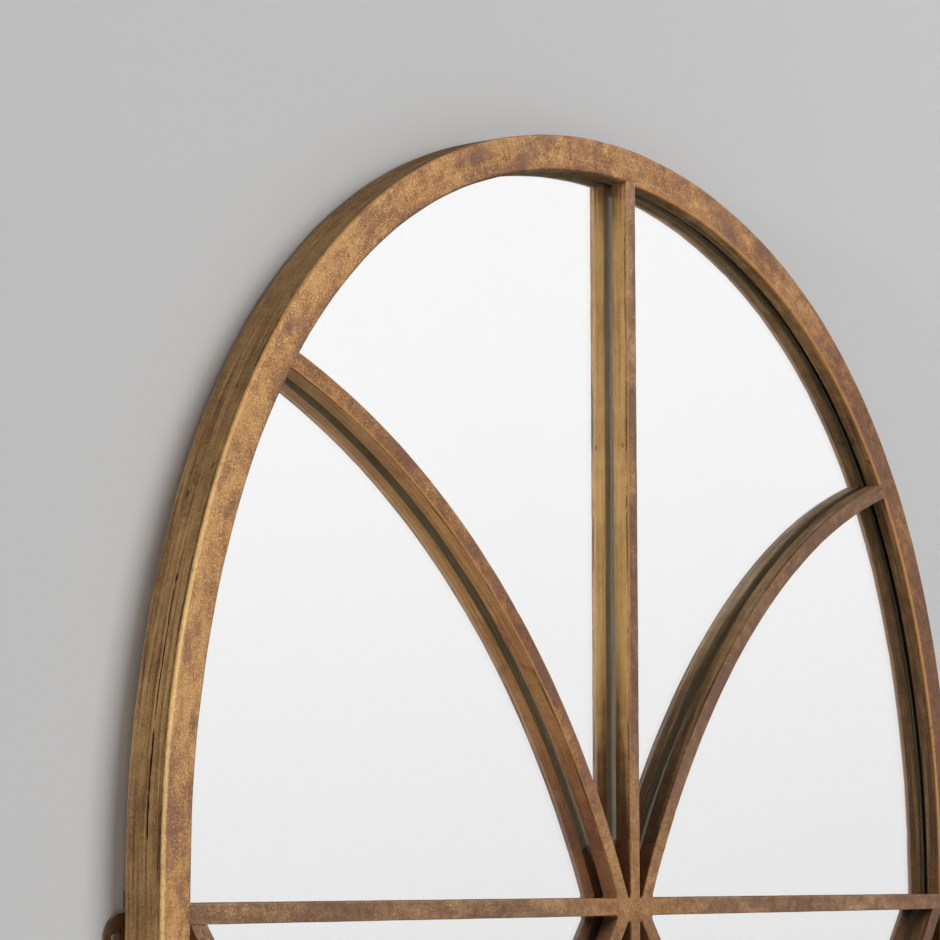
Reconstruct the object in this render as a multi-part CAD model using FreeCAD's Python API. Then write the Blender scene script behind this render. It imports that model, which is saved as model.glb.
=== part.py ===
import FreeCAD, Part
import math
import os

# An arched wall mirror: a two-layer wooden frame, a tracery of glazing bars that stands just off
# a silvered glass, a screwed back panel and two plates that hold the mirror to a wall.
# X runs to the right, Y towards the wall and Z up. The origin lies on the wall, midway between
# the screw holes of the two plates. Lengths are in millimetres and angles in degrees.

# Frame
overall_width = 1000.0
frame_face = 25.0
front_layer = 12.0
back_layer = 16.0
lip_width = 10.0
outer_round = 2.0
inner_round = 1.0

# Arch: five tangent arcs, with flatter flanks and crown and fuller haunches
haunch_radius_share = 0.9
haunch_start = 22.5
springing_rise = 34.0

# Bars, cut from the same board as the front layer: the transom's height over the wall screws,
# their width and the bevel of their front edges
transom_rise = 13.0
bar_width = 12.0
bar_ease = 1.0

# Curved bars: where they leave the transom, how far they lean there, where they land on the arch
arc_foot = 12.8
arc_lean = 24.8
arc_landing = 37.5

# Lattice bays below the transom, and how far the lattice bars start from the bars they spring from
bay_height = 600.0
bay_count = 2
lattice_foot = 8.5
lattice_margin = 2.2

# Hubs: the stars where eight bars meet, with their arms' reach and the corners between the arms
arm_reach = 46.0
hub_corner = 1.8

# Joints of the frame: the back layer's joints are staggered against the front layer's
crown_joint = 52.0
joint_stagger = 120.0
frame_dowel_diameter = 6.0
frame_dowel_length = 40.0
corner_dowel_length = 12.0
bar_dowel_diameter = 4.0
bar_dowel_length = 24.0

# Glass and what packs it
bar_gap = 2.0
glass_thickness = 4.0
glass_clearance = 1.0
silver_thickness = 0.3
tape_width = 5.0
packing_width = 40.0
packing_clearance = 4.0
packing_height_shares = (0.08, 0.36, 0.62, 0.86)

# Back panel
panel_thickness = 3.0
panel_ledge = 8.0
panel_clearance = 0.5

# Screws: head and shank diameters, head height and length
layer_screw = {"head": 7.0, "shank": 3.5, "sink": 2.2, "tip": 3.0, "length": 18.0}
panel_screw = {"head": 6.0, "shank": 3.0, "sink": 1.8, "tip": 2.5, "length": 12.0}
plate_screw = {"head": 6.0, "shank": 3.0, "sink": 1.6, "tip": 2.5, "length": 14.0}
screw_spacing = 250.0
arch_screw_step = 30.0
layer_phase_share = 0.25
panel_phase_share = 0.5

# Wall plates: a base on the stile with a round tab that reaches past the frame
plate_thickness = 2.0
plate_base_width = 9.0
plate_base_height = 52.0
plate_edge = 1.0
tab_radius = 14.0
tab_reach = 15.0
wall_hole_reach = 8.0
wall_hole_diameter = 4.5
wall_hole_sink = 0.9
wall_hole_flare = 1.8
plate_screw_inset = 4.6
plate_screw_pitch = 36.0

# Wall bumpers at the foot
bumper_diameter = 20.0
bumper_inset = 22.0

# One overrun for every cut, and how many bar widths a bar runs on before it is scribed to length
overrun = 5.0
scribe_share = 2.0

# Levels in depth
back_y = -plate_thickness
seam_y = back_y - back_layer
front_y = seam_y - front_layer
half_lap_y = front_y + front_layer / 2
glass_y = seam_y + bar_gap
silver_y = glass_y + glass_thickness
packing_y = silver_y + silver_thickness
panel_y = back_y - panel_thickness

# Levels in height and half widths
half_width = overall_width / 2
transom_z = transom_rise
springing_z = transom_z + springing_rise
foot_inner_z = transom_z - bay_count * bay_height
foot_z = foot_inner_z - frame_face
opening_half = half_width - frame_face
half_bar = bar_width / 2
scribe = bar_width * scribe_share

# Insets from the outer outline
rim_inset = frame_face - lip_width
panel_inset = rim_inset - panel_ledge
glass_inset = rim_inset + glass_clearance
tape_inset = glass_inset
screw_inset = rim_inset - panel_ledge / 2
dowel_inset = rim_inset / 2

# The arch's arcs: the flank and crown share one radius, which follows from the haunch
turn = math.radians(haunch_start)
quarter = math.pi / 2
full_turn = 360.0
curve_start = math.pi - math.radians(arc_lean)
spread = math.cos(turn) - math.sin(turn)
haunch_radius = half_width * haunch_radius_share
flank_radius = (half_width - spread * haunch_radius) / (1 - spread)
radius_step = flank_radius - haunch_radius
flank_x = half_width - flank_radius
haunch_x = flank_x + radius_step * math.cos(turn)
haunch_z = springing_z + radius_step * math.sin(turn)
crown_z = haunch_z - radius_step * math.cos(turn)


def point(x, z, y=0.0):
    """Return a point from its place across, its height and its depth."""
    return FreeCAD.Vector(x, y, z)


def polar(x, z, radius, angle):
    """Return the point at an angle in radians on a circle about (x, z)."""
    return point(x + radius * math.cos(angle), z + radius * math.sin(angle))


def arc(x, z, radius, start, end):
    """Return the circular edge about (x, z) between two angles in radians."""
    middle = (start + end) / 2
    ends = (polar(x, z, radius, start), polar(x, z, radius, middle), polar(x, z, radius, end))
    return Part.Arc(*ends).toShape()


def line(first, last):
    """Return the straight edge between two points."""
    return Part.LineSegment(first, last).toShape()


def outline(inset):
    """Return the closed outline of the mirror, moved inwards by an inset."""
    side = half_width - inset
    flank = flank_radius - inset
    haunch = haunch_radius - inset
    corners = [point(side, foot_z + inset), point(side, springing_z)]
    corners += [point(-side, springing_z), point(-side, foot_z + inset)]
    edges = [
        line(corners[0], corners[1]),
        arc(flank_x, springing_z, flank, 0.0, turn),
        arc(haunch_x, haunch_z, haunch, turn, quarter - turn),
        arc(0.0, crown_z, flank, quarter - turn, quarter + turn),
        arc(-haunch_x, haunch_z, haunch, quarter + turn, math.pi - turn),
        arc(-flank_x, springing_z, flank, math.pi - turn, math.pi),
        line(corners[2], corners[3]),
        line(corners[3], corners[0]),
    ]
    return Part.Wire(edges)


def raised(face, start, end):
    """Return the solid of a flat face at depth zero, carried from one depth to another."""
    moved = face.copy()
    moved.translate(point(0.0, 0.0, start))
    return moved.extrude(point(0.0, 0.0, end - start))


def slab(inset, start, end):
    """Return a solid of the mirror's outline between two depths."""
    return raised(Part.Face(outline(inset)), start, end)


def ring(outer, inner, start, end):
    """Return a frame-shaped solid between two insets and two depths."""
    return slab(outer, start, end).cut(slab(inner, start - overrun, end + overrun))


def prism(corners, start, end):
    """Return a solid with straight sides through corners given as (x, z)."""
    places = [point(x, z) for x, z in corners]
    return raised(Part.Face(Part.makePolygon(places + places[:1])), start, end)


def block(left, right, low, high, start, end):
    """Return a rectangular solid between its limits across, in height and in depth."""
    return prism([(left, low), (right, low), (right, high), (left, high)], start, end)


def through(corners):
    """Return a cutting prism that passes through the whole depth of the frame."""
    return prism(corners, front_y - overrun, back_y + overrun)


def mirrored(shape):
    """Return the left-hand twin of a right-hand shape."""
    return shape.mirror(point(0.0, 0.0), FreeCAD.Vector(1, 0, 0))


def pair(name, shape):
    """Return a right-hand piece and its left-hand twin by name."""
    return {name + "_right": shape, name + "_left": mirrored(shape)}


def inner_reach(inset, angle):
    """Return the point of an inset outline seen from the springing centre at an angle."""
    away = FreeCAD.Vector(math.cos(angle), 0.0, math.sin(angle))
    ray = line(point(0.0, springing_z), point(0.0, springing_z) + away * overall_width)
    return ray.distToShape(outline(inset))[1][0][0]


def outline_normal(place):
    """Return the outward direction of the arch at a place on one of its insets."""
    centres = [(flank_x, springing_z), (haunch_x, haunch_z), (0.0, crown_z)]
    slope = math.atan2(place.z - haunch_z, abs(place.x) - haunch_x)
    x, z = centres[(slope > turn) + (slope > quarter - turn)]
    away = FreeCAD.Vector(abs(place.x) - x, 0.0, place.z - z)
    away.normalize()
    return FreeCAD.Vector(math.copysign(away.x, place.x), 0.0, away.z)


def pin(diameter, length, middle, direction):
    """Return a dowel of a length about its middle, along a direction."""
    start = middle - direction * (length / 2)
    return Part.makeCylinder(diameter / 2, length, start, direction)


def screw(sizes, head, direction):
    """Return a countersunk screw with its head's face at a place, driven along a direction."""
    head_radius = sizes["head"] / 2
    shank_radius = sizes["shank"] / 2
    profile = [
        (0.0, 0.0),
        (head_radius, 0.0),
        (shank_radius, sizes["sink"]),
        (shank_radius, sizes["length"] - sizes["tip"]),
        (0.0, sizes["length"]),
        (0.0, 0.0),
    ]
    places = [FreeCAD.Vector(radius, 0.0, depth) for radius, depth in profile]
    axis = FreeCAD.Vector(0, 0, 1)
    solid = Part.Face(Part.makePolygon(places)).revolve(point(0.0, 0.0), axis, full_turn)
    solid.Placement = FreeCAD.Placement(head, FreeCAD.Rotation(axis, direction))
    return solid


def spaced(start, end, spacing, phase):
    """Return values about a spacing apart along a span, each at one phase of its step."""
    count = max(1, round((end - start) / spacing))
    step = (end - start) / count
    return [start + step * (index + phase) for index in range(count)]


def bar_section(place, across):
    """Return the section of a bar at a place, with its two front edges eased."""
    depth = FreeCAD.Vector(0, 1, 0)
    face = half_bar - bar_ease
    shoulder = front_y + bar_ease
    profile = [(-half_bar, seam_y), (-half_bar, shoulder), (-face, front_y), (face, front_y)]
    profile += [(half_bar, shoulder), (half_bar, seam_y), (-half_bar, seam_y)]
    corners = [place + across * side + depth * y for side, y in profile]
    return Part.Face(Part.makePolygon(corners))


def straight_bar(first, last):
    """Return a bar between two points, with square ends."""
    along = last - first
    along.normalize()
    across = FreeCAD.Vector(along.z, 0.0, -along.x)
    return bar_section(first, across).extrude(last - first)


def flat_bar(first, last, start, end):
    """Return a block of a bar's full width between two points and two depths."""
    along = last - first
    along.normalize()
    side = FreeCAD.Vector(along.z, 0.0, -along.x) * half_bar
    corners = [first + side, last + side, last - side, first - side]
    return prism([(corner.x, corner.z) for corner in corners], start, end)


def half_lapped(over, under):
    """Return two crossing bars halved into each other, the first one in front."""
    over_bar = straight_bar(*over).cut(flat_bar(*under, half_lap_y, seam_y + overrun))
    under_bar = straight_bar(*under).cut(flat_bar(*over, front_y - overrun, half_lap_y))
    return over_bar, under_bar


def front_edges(shape, inset):
    """Return the edges of a shape that follow an inset of the outline on the front."""
    wire = outline(inset)
    wire.translate(point(0.0, 0.0, front_y))
    on_front = [edge for edge in shape.Edges if edge.BoundBox.YMax < front_y + inner_round / 2]
    return [edge for edge in on_front if edge.distToShape(wire)[0] < inner_round / 2]


def rounded_ring():
    """Return the front layer's ring with its outer and inner front edges rounded."""
    body = slab(0.0, front_y, seam_y)
    body = body.makeFillet(outer_round, front_edges(body, 0.0))
    body = body.cut(slab(frame_face, front_y - overrun, seam_y + overrun))
    return body.makeFillet(inner_round, front_edges(body, frame_face))


def front_frame():
    """Return the pieces of the front layer: arch halves, stiles and a mitred bottom rail."""
    body = rounded_ring()
    far = half_width + overrun
    low = foot_z - overrun
    apex = foot_z + half_width
    top = springing_z + overall_width
    arch = through([(0.0, transom_z), (far, transom_z), (far, top), (0.0, top)])
    stile = through([(far, low), (far, transom_z), (0.0, transom_z), (0.0, apex)])
    rail = through([(-far, low), (far, low), (0.0, apex)])
    pieces = pair("front_arch", body.common(arch))
    pieces.update(pair("front_stile", body.common(stile)))
    pieces["front_bottom_rail"] = body.common(rail)
    return pieces


def back_frame():
    """Return the pieces of the back layer, rebated at the back for the panel."""
    body = ring(0.0, rim_inset, seam_y, back_y)
    body = body.cut(slab(panel_inset, panel_y, back_y + overrun))
    far = half_width + overrun
    top = springing_z + overall_width
    joint_z = transom_z - joint_stagger
    angle = math.radians(crown_joint)
    reach = polar(0.0, springing_z, overall_width, angle)
    crown = through([(0.0, springing_z), (reach.x, reach.z), (-reach.x, reach.z)])
    arch = through([(0.0, joint_z), (far, joint_z), (far, top), (0.0, top)])
    shoulder = half_width - rim_inset
    stile = through([(shoulder, foot_z), (far, foot_z), (far, joint_z), (shoulder, joint_z)])
    rail = through([(-shoulder, foot_z), (shoulder, foot_z), (shoulder, joint_z), (-shoulder, joint_z)])
    pieces = {"back_arch_crown": body.common(crown)}
    pieces.update(pair("back_arch", body.common(arch).cut(crown)))
    pieces.update(pair("back_stile", body.common(stile)))
    pieces["back_bottom_rail"] = body.common(rail)
    return pieces


def frame_dowels():
    """Return the dowels across the joints of both layers."""
    front_mid = (front_y + seam_y) / 2
    back_mid = (seam_y + panel_y) / 2
    up = FreeCAD.Vector(0, 0, 1)
    across = FreeCAD.Vector(1, 0, 0)
    side = half_width - dowel_inset
    sizes = (frame_dowel_diameter, frame_dowel_length)
    crown = inner_reach(dowel_inset, quarter)
    shoulder = inner_reach(dowel_inset, math.radians(crown_joint))
    tangent = tangent_of(outline_normal(shoulder))
    corner = FreeCAD.Vector(1, 0, 1)
    corner.normalize()
    mitre = point(side, foot_z + dowel_inset, front_mid)
    butt = point(half_width - rim_inset, foot_z + dowel_inset, back_mid)
    right = [
        pin(*sizes, point(side, transom_z, front_mid), up),
        pin(*sizes, point(side, transom_z - joint_stagger, back_mid), up),
        pin(*sizes, point(shoulder.x, shoulder.z, back_mid), tangent),
        pin(bar_dowel_diameter, corner_dowel_length, mitre, corner),
        pin(bar_dowel_diameter, corner_dowel_length, butt, across),
    ]
    middle = pin(*sizes, point(crown.x, crown.z, front_mid), across)
    return Part.Compound([middle] + right + [mirrored(shape) for shape in right])


def ledge_places(phase):
    """Return places along the panel's ledge, each at one phase of its even spacing."""
    side = half_width - screw_inset
    heights = spaced(foot_inner_z, transom_z - plate_base_height, screw_spacing, phase)
    angles = spaced(0.0, quarter, math.radians(arch_screw_step), phase)
    right = [point(side, height) for height in heights]
    right += [point(x, foot_z + screw_inset) for x in spaced(0.0, opening_half, screw_spacing, phase)]
    right += [inner_reach(screw_inset, angle) for angle in angles]
    return right + [point(-place.x, place.z) for place in right]


def ledge_screws(sizes, head_y, phase):
    """Return a row of screws along the panel's ledge, driven towards the front."""
    forward = FreeCAD.Vector(0, -1, 0)
    places = [point(place.x, place.z, head_y) for place in ledge_places(phase)]
    return Part.Compound([screw(sizes, place, forward) for place in places])


def bar_space(left, right, low, high):
    """Return the block of the bars' own depth, with room before and behind, for cutting bars."""
    return block(left, right, low, high, front_y - overrun, seam_y + overrun)


def transom_height(bay):
    """Return the height of the transom over a bay."""
    return transom_z - bay * bay_height


def lattice_lines(bay):
    """Return the centre lines of a bay's right-hand lattice bars, from the hub and from the stile."""
    height = transom_height(bay)
    foot = height - bay_height
    near = lattice_foot
    far = opening_half - lattice_margin
    return (point(near, height), point(far, foot)), (point(far, height), point(near, foot))


def curve_circle():
    """Return the landing, centre and radius of the right-hand curved bar's centre line."""
    lean = math.radians(arc_lean)
    foot = point(arc_foot, transom_z)
    landing = inner_reach(frame_face, math.radians(arc_landing))
    inwards = FreeCAD.Vector(math.cos(lean), 0.0, -math.sin(lean))
    chord = landing - foot
    radius = chord.dot(chord) / (2 * chord.dot(inwards))
    return landing, foot + inwards * radius, radius


def hub(bay):
    """Return the star where eight bars meet, cut from one board with rounded inner corners."""
    height = transom_height(bay)
    spine = flat_bar(point(0.0, height - arm_reach), point(0.0, height + arm_reach), front_y, seam_y)
    rail = flat_bar(point(-arm_reach, height), point(arm_reach, height), front_y, seam_y)
    foot = point(lattice_foot, height)
    _, falling, rising = [place for place, _ in hub_joints(bay)]
    arms = [flat_bar(foot, falling, front_y, seam_y)]
    arms.append(curved_arm() if bay == 0 else flat_bar(foot, rising, front_y, seam_y))
    arms += [mirrored(arm) for arm in arms]
    star = spine.fuse([rail] + arms).removeSplitter()
    ends = [place for place, _ in hub_joints(bay) + spine_joints(bay)]
    ends += [point(-place.x, place.z) for place in ends]
    corners = [edge for edge in star.Edges if edge.BoundBox.YLength > front_layer / 2]
    corners = [edge for edge in corners if is_clear(edge, ends, half_bar + bar_ease)]
    star = star.makeFillet(hub_corner, corners)
    front = [edge for edge in star.Edges if edge.BoundBox.YMax < half_lap_y]
    return star.makeChamfer(bar_ease, [edge for edge in front if is_clear(edge, ends, bar_ease)])


def is_clear(edge, ends, distance):
    """Return whether the middle of a hub's edge is farther than a distance from every arm's end."""
    middle = edge.CenterOfMass
    flat = point(middle.x, middle.z)
    return all(flat.distanceToPoint(end) > distance for end in ends)


def joint_on(first, last):
    """Return the point at an arm's reach from the start of a line, and the line's direction."""
    along = last - first
    along.normalize()
    return first + along * arm_reach, along


def curve_joint():
    """Return the point at an arm's reach along the right-hand curve, and its direction there."""
    _, centre, radius = curve_circle()
    angle = curve_start - arm_reach / radius
    spoke = FreeCAD.Vector(math.cos(angle), 0.0, math.sin(angle)) * radius
    return centre + spoke, tangent_of(spoke)


def hub_joints(bay):
    """Return the middle and direction of the joints between a hub and its right-hand bars."""
    height = transom_height(bay)
    joints = [(point(arm_reach, height), FreeCAD.Vector(1, 0, 0))]
    joints.append(joint_on(*lattice_lines(bay)[0]))
    joints.append(curve_joint() if bay == 0 else joint_on(*lattice_lines(bay - 1)[1][::-1]))
    return joints


def spine_joints(bay):
    """Return the middle and direction of the joints between a hub and the centre bars."""
    up = FreeCAD.Vector(0, 0, 1)
    height = transom_height(bay)
    return [(point(0.0, height + arm_reach), up), (point(0.0, height - arm_reach), up)]


def curved_arm():
    """Return the hub's right-hand curved arm as a flat band between two radial ends."""
    _, centre, radius = curve_circle()
    end = curve_start - arm_reach / radius
    rims = [(radius - half_bar, curve_start, end), (radius + half_bar, end, curve_start)]
    inner, outer = [arc(centre.x, centre.z, *rim) for rim in rims]
    sides = [line(inner.Vertexes[1].Point, outer.Vertexes[0].Point)]
    sides.append(line(outer.Vertexes[1].Point, inner.Vertexes[0].Point))
    return raised(Part.Face(Part.Wire([inner, sides[0], outer, sides[1]])), front_y, seam_y)


def tracery():
    """Return the hubs and the bars between them and the frame, scribed to what they meet."""
    opening = slab(frame_face, front_y - overrun, seam_y + overrun)
    levels = [springing_z + half_width]
    for bay in range(bay_count):
        levels += [place.z for place, _ in spine_joints(bay)]
    levels.append(foot_inner_z)
    pieces = {}
    for index in range(bay_count + 1):
        top, low = levels[2 * index], levels[2 * index + 1]
        length = straight_bar(point(0.0, low), point(0.0, top))
        pieces["centre_bar_%d" % (index + 1)] = length.common(opening)
    for bay in range(bay_count):
        height = transom_height(bay)
        rail = straight_bar(point(arm_reach, height), point(opening_half, height))
        pieces["hub_%d" % (bay + 1)] = hub(bay)
        pieces.update(pair("transom_%d" % (bay + 1), rail))
        pieces.update(lattice(bay))
    pieces.update(pair("curved_bar", curved_bar().common(opening)))
    return pieces


def lattice(bay):
    """Return the four halved lattice bars of one bay, from a hub or scribed to the frame."""
    height = transom_height(bay)
    foot = height - bay_height
    is_last = bay == bay_count - 1
    low = foot if is_last else foot + half_bar
    window = bar_space(half_bar, opening_half, low, height - half_bar)
    outward, inward = lattice_lines(bay)
    start, along = joint_on(*outward)
    over = (start, outward[1] + along * scribe)
    end, along = joint_on(*inward[::-1])
    under = (inward[0] + along * scribe, inward[1] - along * scribe if is_last else end)
    over_bar, under_bar = half_lapped(over, under)
    label = "lattice_%d" % (bay + 1)
    pieces = pair(label + "_outward", over_bar.common(window))
    pieces.update(pair(label + "_inward", under_bar.common(window)))
    return pieces


def curved_bar():
    """Return the right-hand bar that curves from the hub to the arch, run on past its landing."""
    landing, centre, radius = curve_circle()
    start = curve_start - arm_reach / radius
    end = math.atan2(landing.z - centre.z, landing.x - centre.x)
    across = FreeCAD.Vector(math.cos(start), 0.0, math.sin(start))
    section = bar_section(centre + across * radius, across)
    sweep = math.degrees(start - end + scribe / radius)
    return section.revolve(centre, FreeCAD.Vector(0, 1, 0), sweep)


def bar_dowels():
    """Return the dowels that tie the bars to the frame and to the hubs."""
    up = FreeCAD.Vector(0, 0, 1)
    right = [curve_at_landing()]
    middle = [(inner_reach(frame_face, quarter), up), (point(0.0, foot_inner_z), up)]
    for bay in range(bay_count):
        right.append((point(opening_half, transom_height(bay)), FreeCAD.Vector(1, 0, 0)))
        right += hub_joints(bay)
        middle += spine_joints(bay)
    pins = [arm_pin(*joint) for joint in right]
    spine = [arm_pin(*joint) for joint in middle]
    return Part.Compound(spine + pins + [mirrored(shape) for shape in pins])


def arm_pin(place, direction):
    """Return a bar dowel at half the bar's depth, across a joint at a place."""
    middle = point(place.x, place.z, half_lap_y)
    return pin(bar_dowel_diameter, bar_dowel_length, middle, direction)


def curve_at_landing():
    """Return the point where the curved centre line meets the frame, and its direction."""
    landing, centre, _ = curve_circle()
    return landing, tangent_of(landing - centre)


def tangent_of(spoke):
    """Return the unit direction of a circle in the mirror's plane at the end of a spoke."""
    along = spoke.cross(FreeCAD.Vector(0, 1, 0))
    along.normalize()
    return along


def packing():
    """Return the strips of card between the silvered glass and the back panel."""
    inside = slab(rim_inset + packing_clearance, packing_y, panel_y)
    rise = springing_z + half_width - foot_z
    strips = []
    for share in packing_height_shares:
        middle = foot_z + rise * share
        band = block(-half_width, half_width, middle - packing_width / 2, middle + packing_width / 2,
                     packing_y, panel_y)
        strips.append(inside.common(band))
    return Part.Compound([solid for strip in strips for solid in strip.Solids])


def wall_plate():
    """Return the right-hand wall plate with its countersunk wall hole."""
    outer = half_width - plate_edge
    inner = outer - plate_base_width
    base = plate_base_height / 2
    shoulder = half_width + tab_reach - tab_radius
    tip = point(half_width + tab_reach, 0.0)
    corners = [point(shoulder, tab_radius), point(outer, tab_radius), point(outer, base)]
    corners += [point(inner, base), point(inner, -base), point(outer, -base)]
    corners += [point(outer, -tab_radius), point(shoulder, -tab_radius)]
    edges = [line(first, last) for first, last in zip(corners, corners[1:])]
    edges.append(Part.Arc(corners[-1], tip, corners[0]).toShape())
    plate = raised(Part.Face(Part.Wire(edges)), back_y, 0.0)
    radius = wall_hole_diameter / 2
    towards_wall = FreeCAD.Vector(0, 1, 0)
    centre = point(half_width + wall_hole_reach, 0.0, back_y)
    hole = Part.makeCylinder(radius, plate_thickness + overrun, centre, towards_wall)
    sink = Part.makeCone(radius + wall_hole_flare, radius, wall_hole_sink, centre, towards_wall)
    return plate.cut(hole).cut(sink)


def plate_screws():
    """Return the screws that hold both wall plates to the stiles."""
    forward = FreeCAD.Vector(0, -1, 0)
    side = half_width - plate_screw_inset
    heights = (-plate_screw_pitch / 2, plate_screw_pitch / 2)
    right = [screw(plate_screw, point(side, height), forward) for height in heights]
    return Part.Compound(right + [mirrored(shape) for shape in right])


def bumpers():
    """Return the pads that keep the foot of the frame off the wall."""
    towards_wall = FreeCAD.Vector(0, 1, 0)
    radius = bumper_diameter / 2
    place = point(half_width - bumper_inset, foot_z + bumper_inset, back_y)
    pad = Part.makeCylinder(radius, plate_thickness, place, towards_wall)
    return Part.Compound([pad, mirrored(pad)])


def assemble():
    """Return every piece by name, with the holes that its dowels and screws need."""
    fasteners = {
        "frame_dowels": frame_dowels(),
        "bar_dowels": bar_dowels(),
        "layer_screws": ledge_screws(layer_screw, panel_y, layer_phase_share),
        "panel_screws": ledge_screws(panel_screw, back_y, panel_phase_share),
        "plate_screws": plate_screws(),
    }
    panel = slab(panel_inset + panel_clearance, panel_y, back_y)
    pieces = {"back_panel": panel.cut(fasteners["panel_screws"].Solids)}
    drilled = front_frame()
    drilled.update(back_frame())
    drilled.update(tracery())
    drilled.update(pair("wall_plate", wall_plate()))
    for name, shape in drilled.items():
        near = [solid for group in fasteners.values() for solid in group.Solids
                if solid.BoundBox.intersect(shape.BoundBox)]
        pieces[name] = shape.cut(near) if near else shape
    pieces.update(fasteners)
    pieces["spacer_tape"] = ring(tape_inset, tape_inset + tape_width, seam_y, glass_y)
    pieces["mirror_glass"] = slab(glass_inset, glass_y, silver_y)
    pieces["silver_backing"] = slab(glass_inset, silver_y, packing_y)
    pieces["packing_strips"] = packing()
    pieces["wall_bumpers"] = bumpers()
    return pieces


def main():
    """Write each piece to its own file."""
    os.makedirs("parts", exist_ok=True)
    for name, shape in sorted(assemble().items()):
        shape.exportStep("parts/%s.step" % name)
        print(name, len(shape.Solids), round(shape.Volume))


main()
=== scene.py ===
import logging
import math
from abc import ABC, abstractmethod
from dataclasses import dataclass, field
from enum import IntEnum
from functools import partial
from typing import Callable, Generic, Optional, Sequence, TypeVar, Union

import bmesh
import bpy
import numpy as np
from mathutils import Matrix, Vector, noise


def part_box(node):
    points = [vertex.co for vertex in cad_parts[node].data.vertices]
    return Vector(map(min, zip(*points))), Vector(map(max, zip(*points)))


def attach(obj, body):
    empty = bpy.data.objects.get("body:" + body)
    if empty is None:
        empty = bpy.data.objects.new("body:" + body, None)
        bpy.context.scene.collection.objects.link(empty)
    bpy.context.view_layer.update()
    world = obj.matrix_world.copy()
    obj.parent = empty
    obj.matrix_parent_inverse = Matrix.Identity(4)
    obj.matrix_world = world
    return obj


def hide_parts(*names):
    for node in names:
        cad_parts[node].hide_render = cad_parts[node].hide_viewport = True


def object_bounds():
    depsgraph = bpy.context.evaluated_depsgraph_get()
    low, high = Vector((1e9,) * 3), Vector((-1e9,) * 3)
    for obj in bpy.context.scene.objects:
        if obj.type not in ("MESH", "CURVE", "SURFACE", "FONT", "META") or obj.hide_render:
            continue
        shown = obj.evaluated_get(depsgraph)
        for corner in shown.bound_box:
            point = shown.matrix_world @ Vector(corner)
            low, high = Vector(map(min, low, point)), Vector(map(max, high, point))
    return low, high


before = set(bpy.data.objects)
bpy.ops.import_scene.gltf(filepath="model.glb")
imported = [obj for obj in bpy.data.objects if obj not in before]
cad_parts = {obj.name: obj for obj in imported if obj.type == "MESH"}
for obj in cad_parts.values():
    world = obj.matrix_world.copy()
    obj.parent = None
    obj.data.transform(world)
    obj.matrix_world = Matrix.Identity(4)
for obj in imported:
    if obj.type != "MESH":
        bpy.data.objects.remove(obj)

# The arched mirror's looks: a gilded frame and tracery swept along the solids' own lines, a
# silvered glass behind them, and the board, screws and plates at the back. Lengths are in metres.

CAD_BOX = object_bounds()
LOG = logging.getLogger("arched_mirror")

WELD = 1e-6
TINY = 1e-7
SHARP_EDGE = math.radians(32)
MIDDLE = 0.5  # the middle of every noise
CARRIED = ("worn", "grime", "age", "calm")

Array = np.ndarray
Point = tuple[float, float]
Triple = tuple[float, float, float]
Colour = Triple
Socket = bpy.types.NodeSocket
Inputs = bpy.types.NodeInputs
Skin = bmesh.types.BMesh
Loop = list[bmesh.types.BMVert]
Value = Union[float, Socket]
Fed = dict[Union[int, str], object]
Keep = Callable[[Array, Array], Array]
Each = TypeVar("Each")


class Zone(IntEnum):
    """The parts of a swept section that take different finishes."""

    FACE = 0
    SIDE = 1
    BACK = 2
    HIDDEN = 3


class Side(IntEnum):
    """The two halves of the mirror."""

    LEFT = -1
    RIGHT = 1

    @property
    def word(self) -> str:
        """Return the half's name as the nodes spell it."""
        return self.name.lower()


@dataclass(frozen=True)
class Pair(Generic[Each]):
    """What differs between the mirror's two halves."""

    left: Each
    right: Each

    @classmethod
    def same(cls, value: Each) -> "Pair[Each]":
        """Return two halves that are alike."""
        return cls(value, value)

    def on(self, side: int) -> Each:
        """Return what one half has."""
        return self.left if side == Side.LEFT else self.right


@dataclass(frozen=True)
class Grain:
    """A noise in a finish: features per metre, octaves, their roughness, distortion and stretch."""

    scale: float = 1.0
    detail: float = 3.0
    rough: float = 0.55
    warp: float = 0.0
    stretch: Optional[Triple] = None


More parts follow.
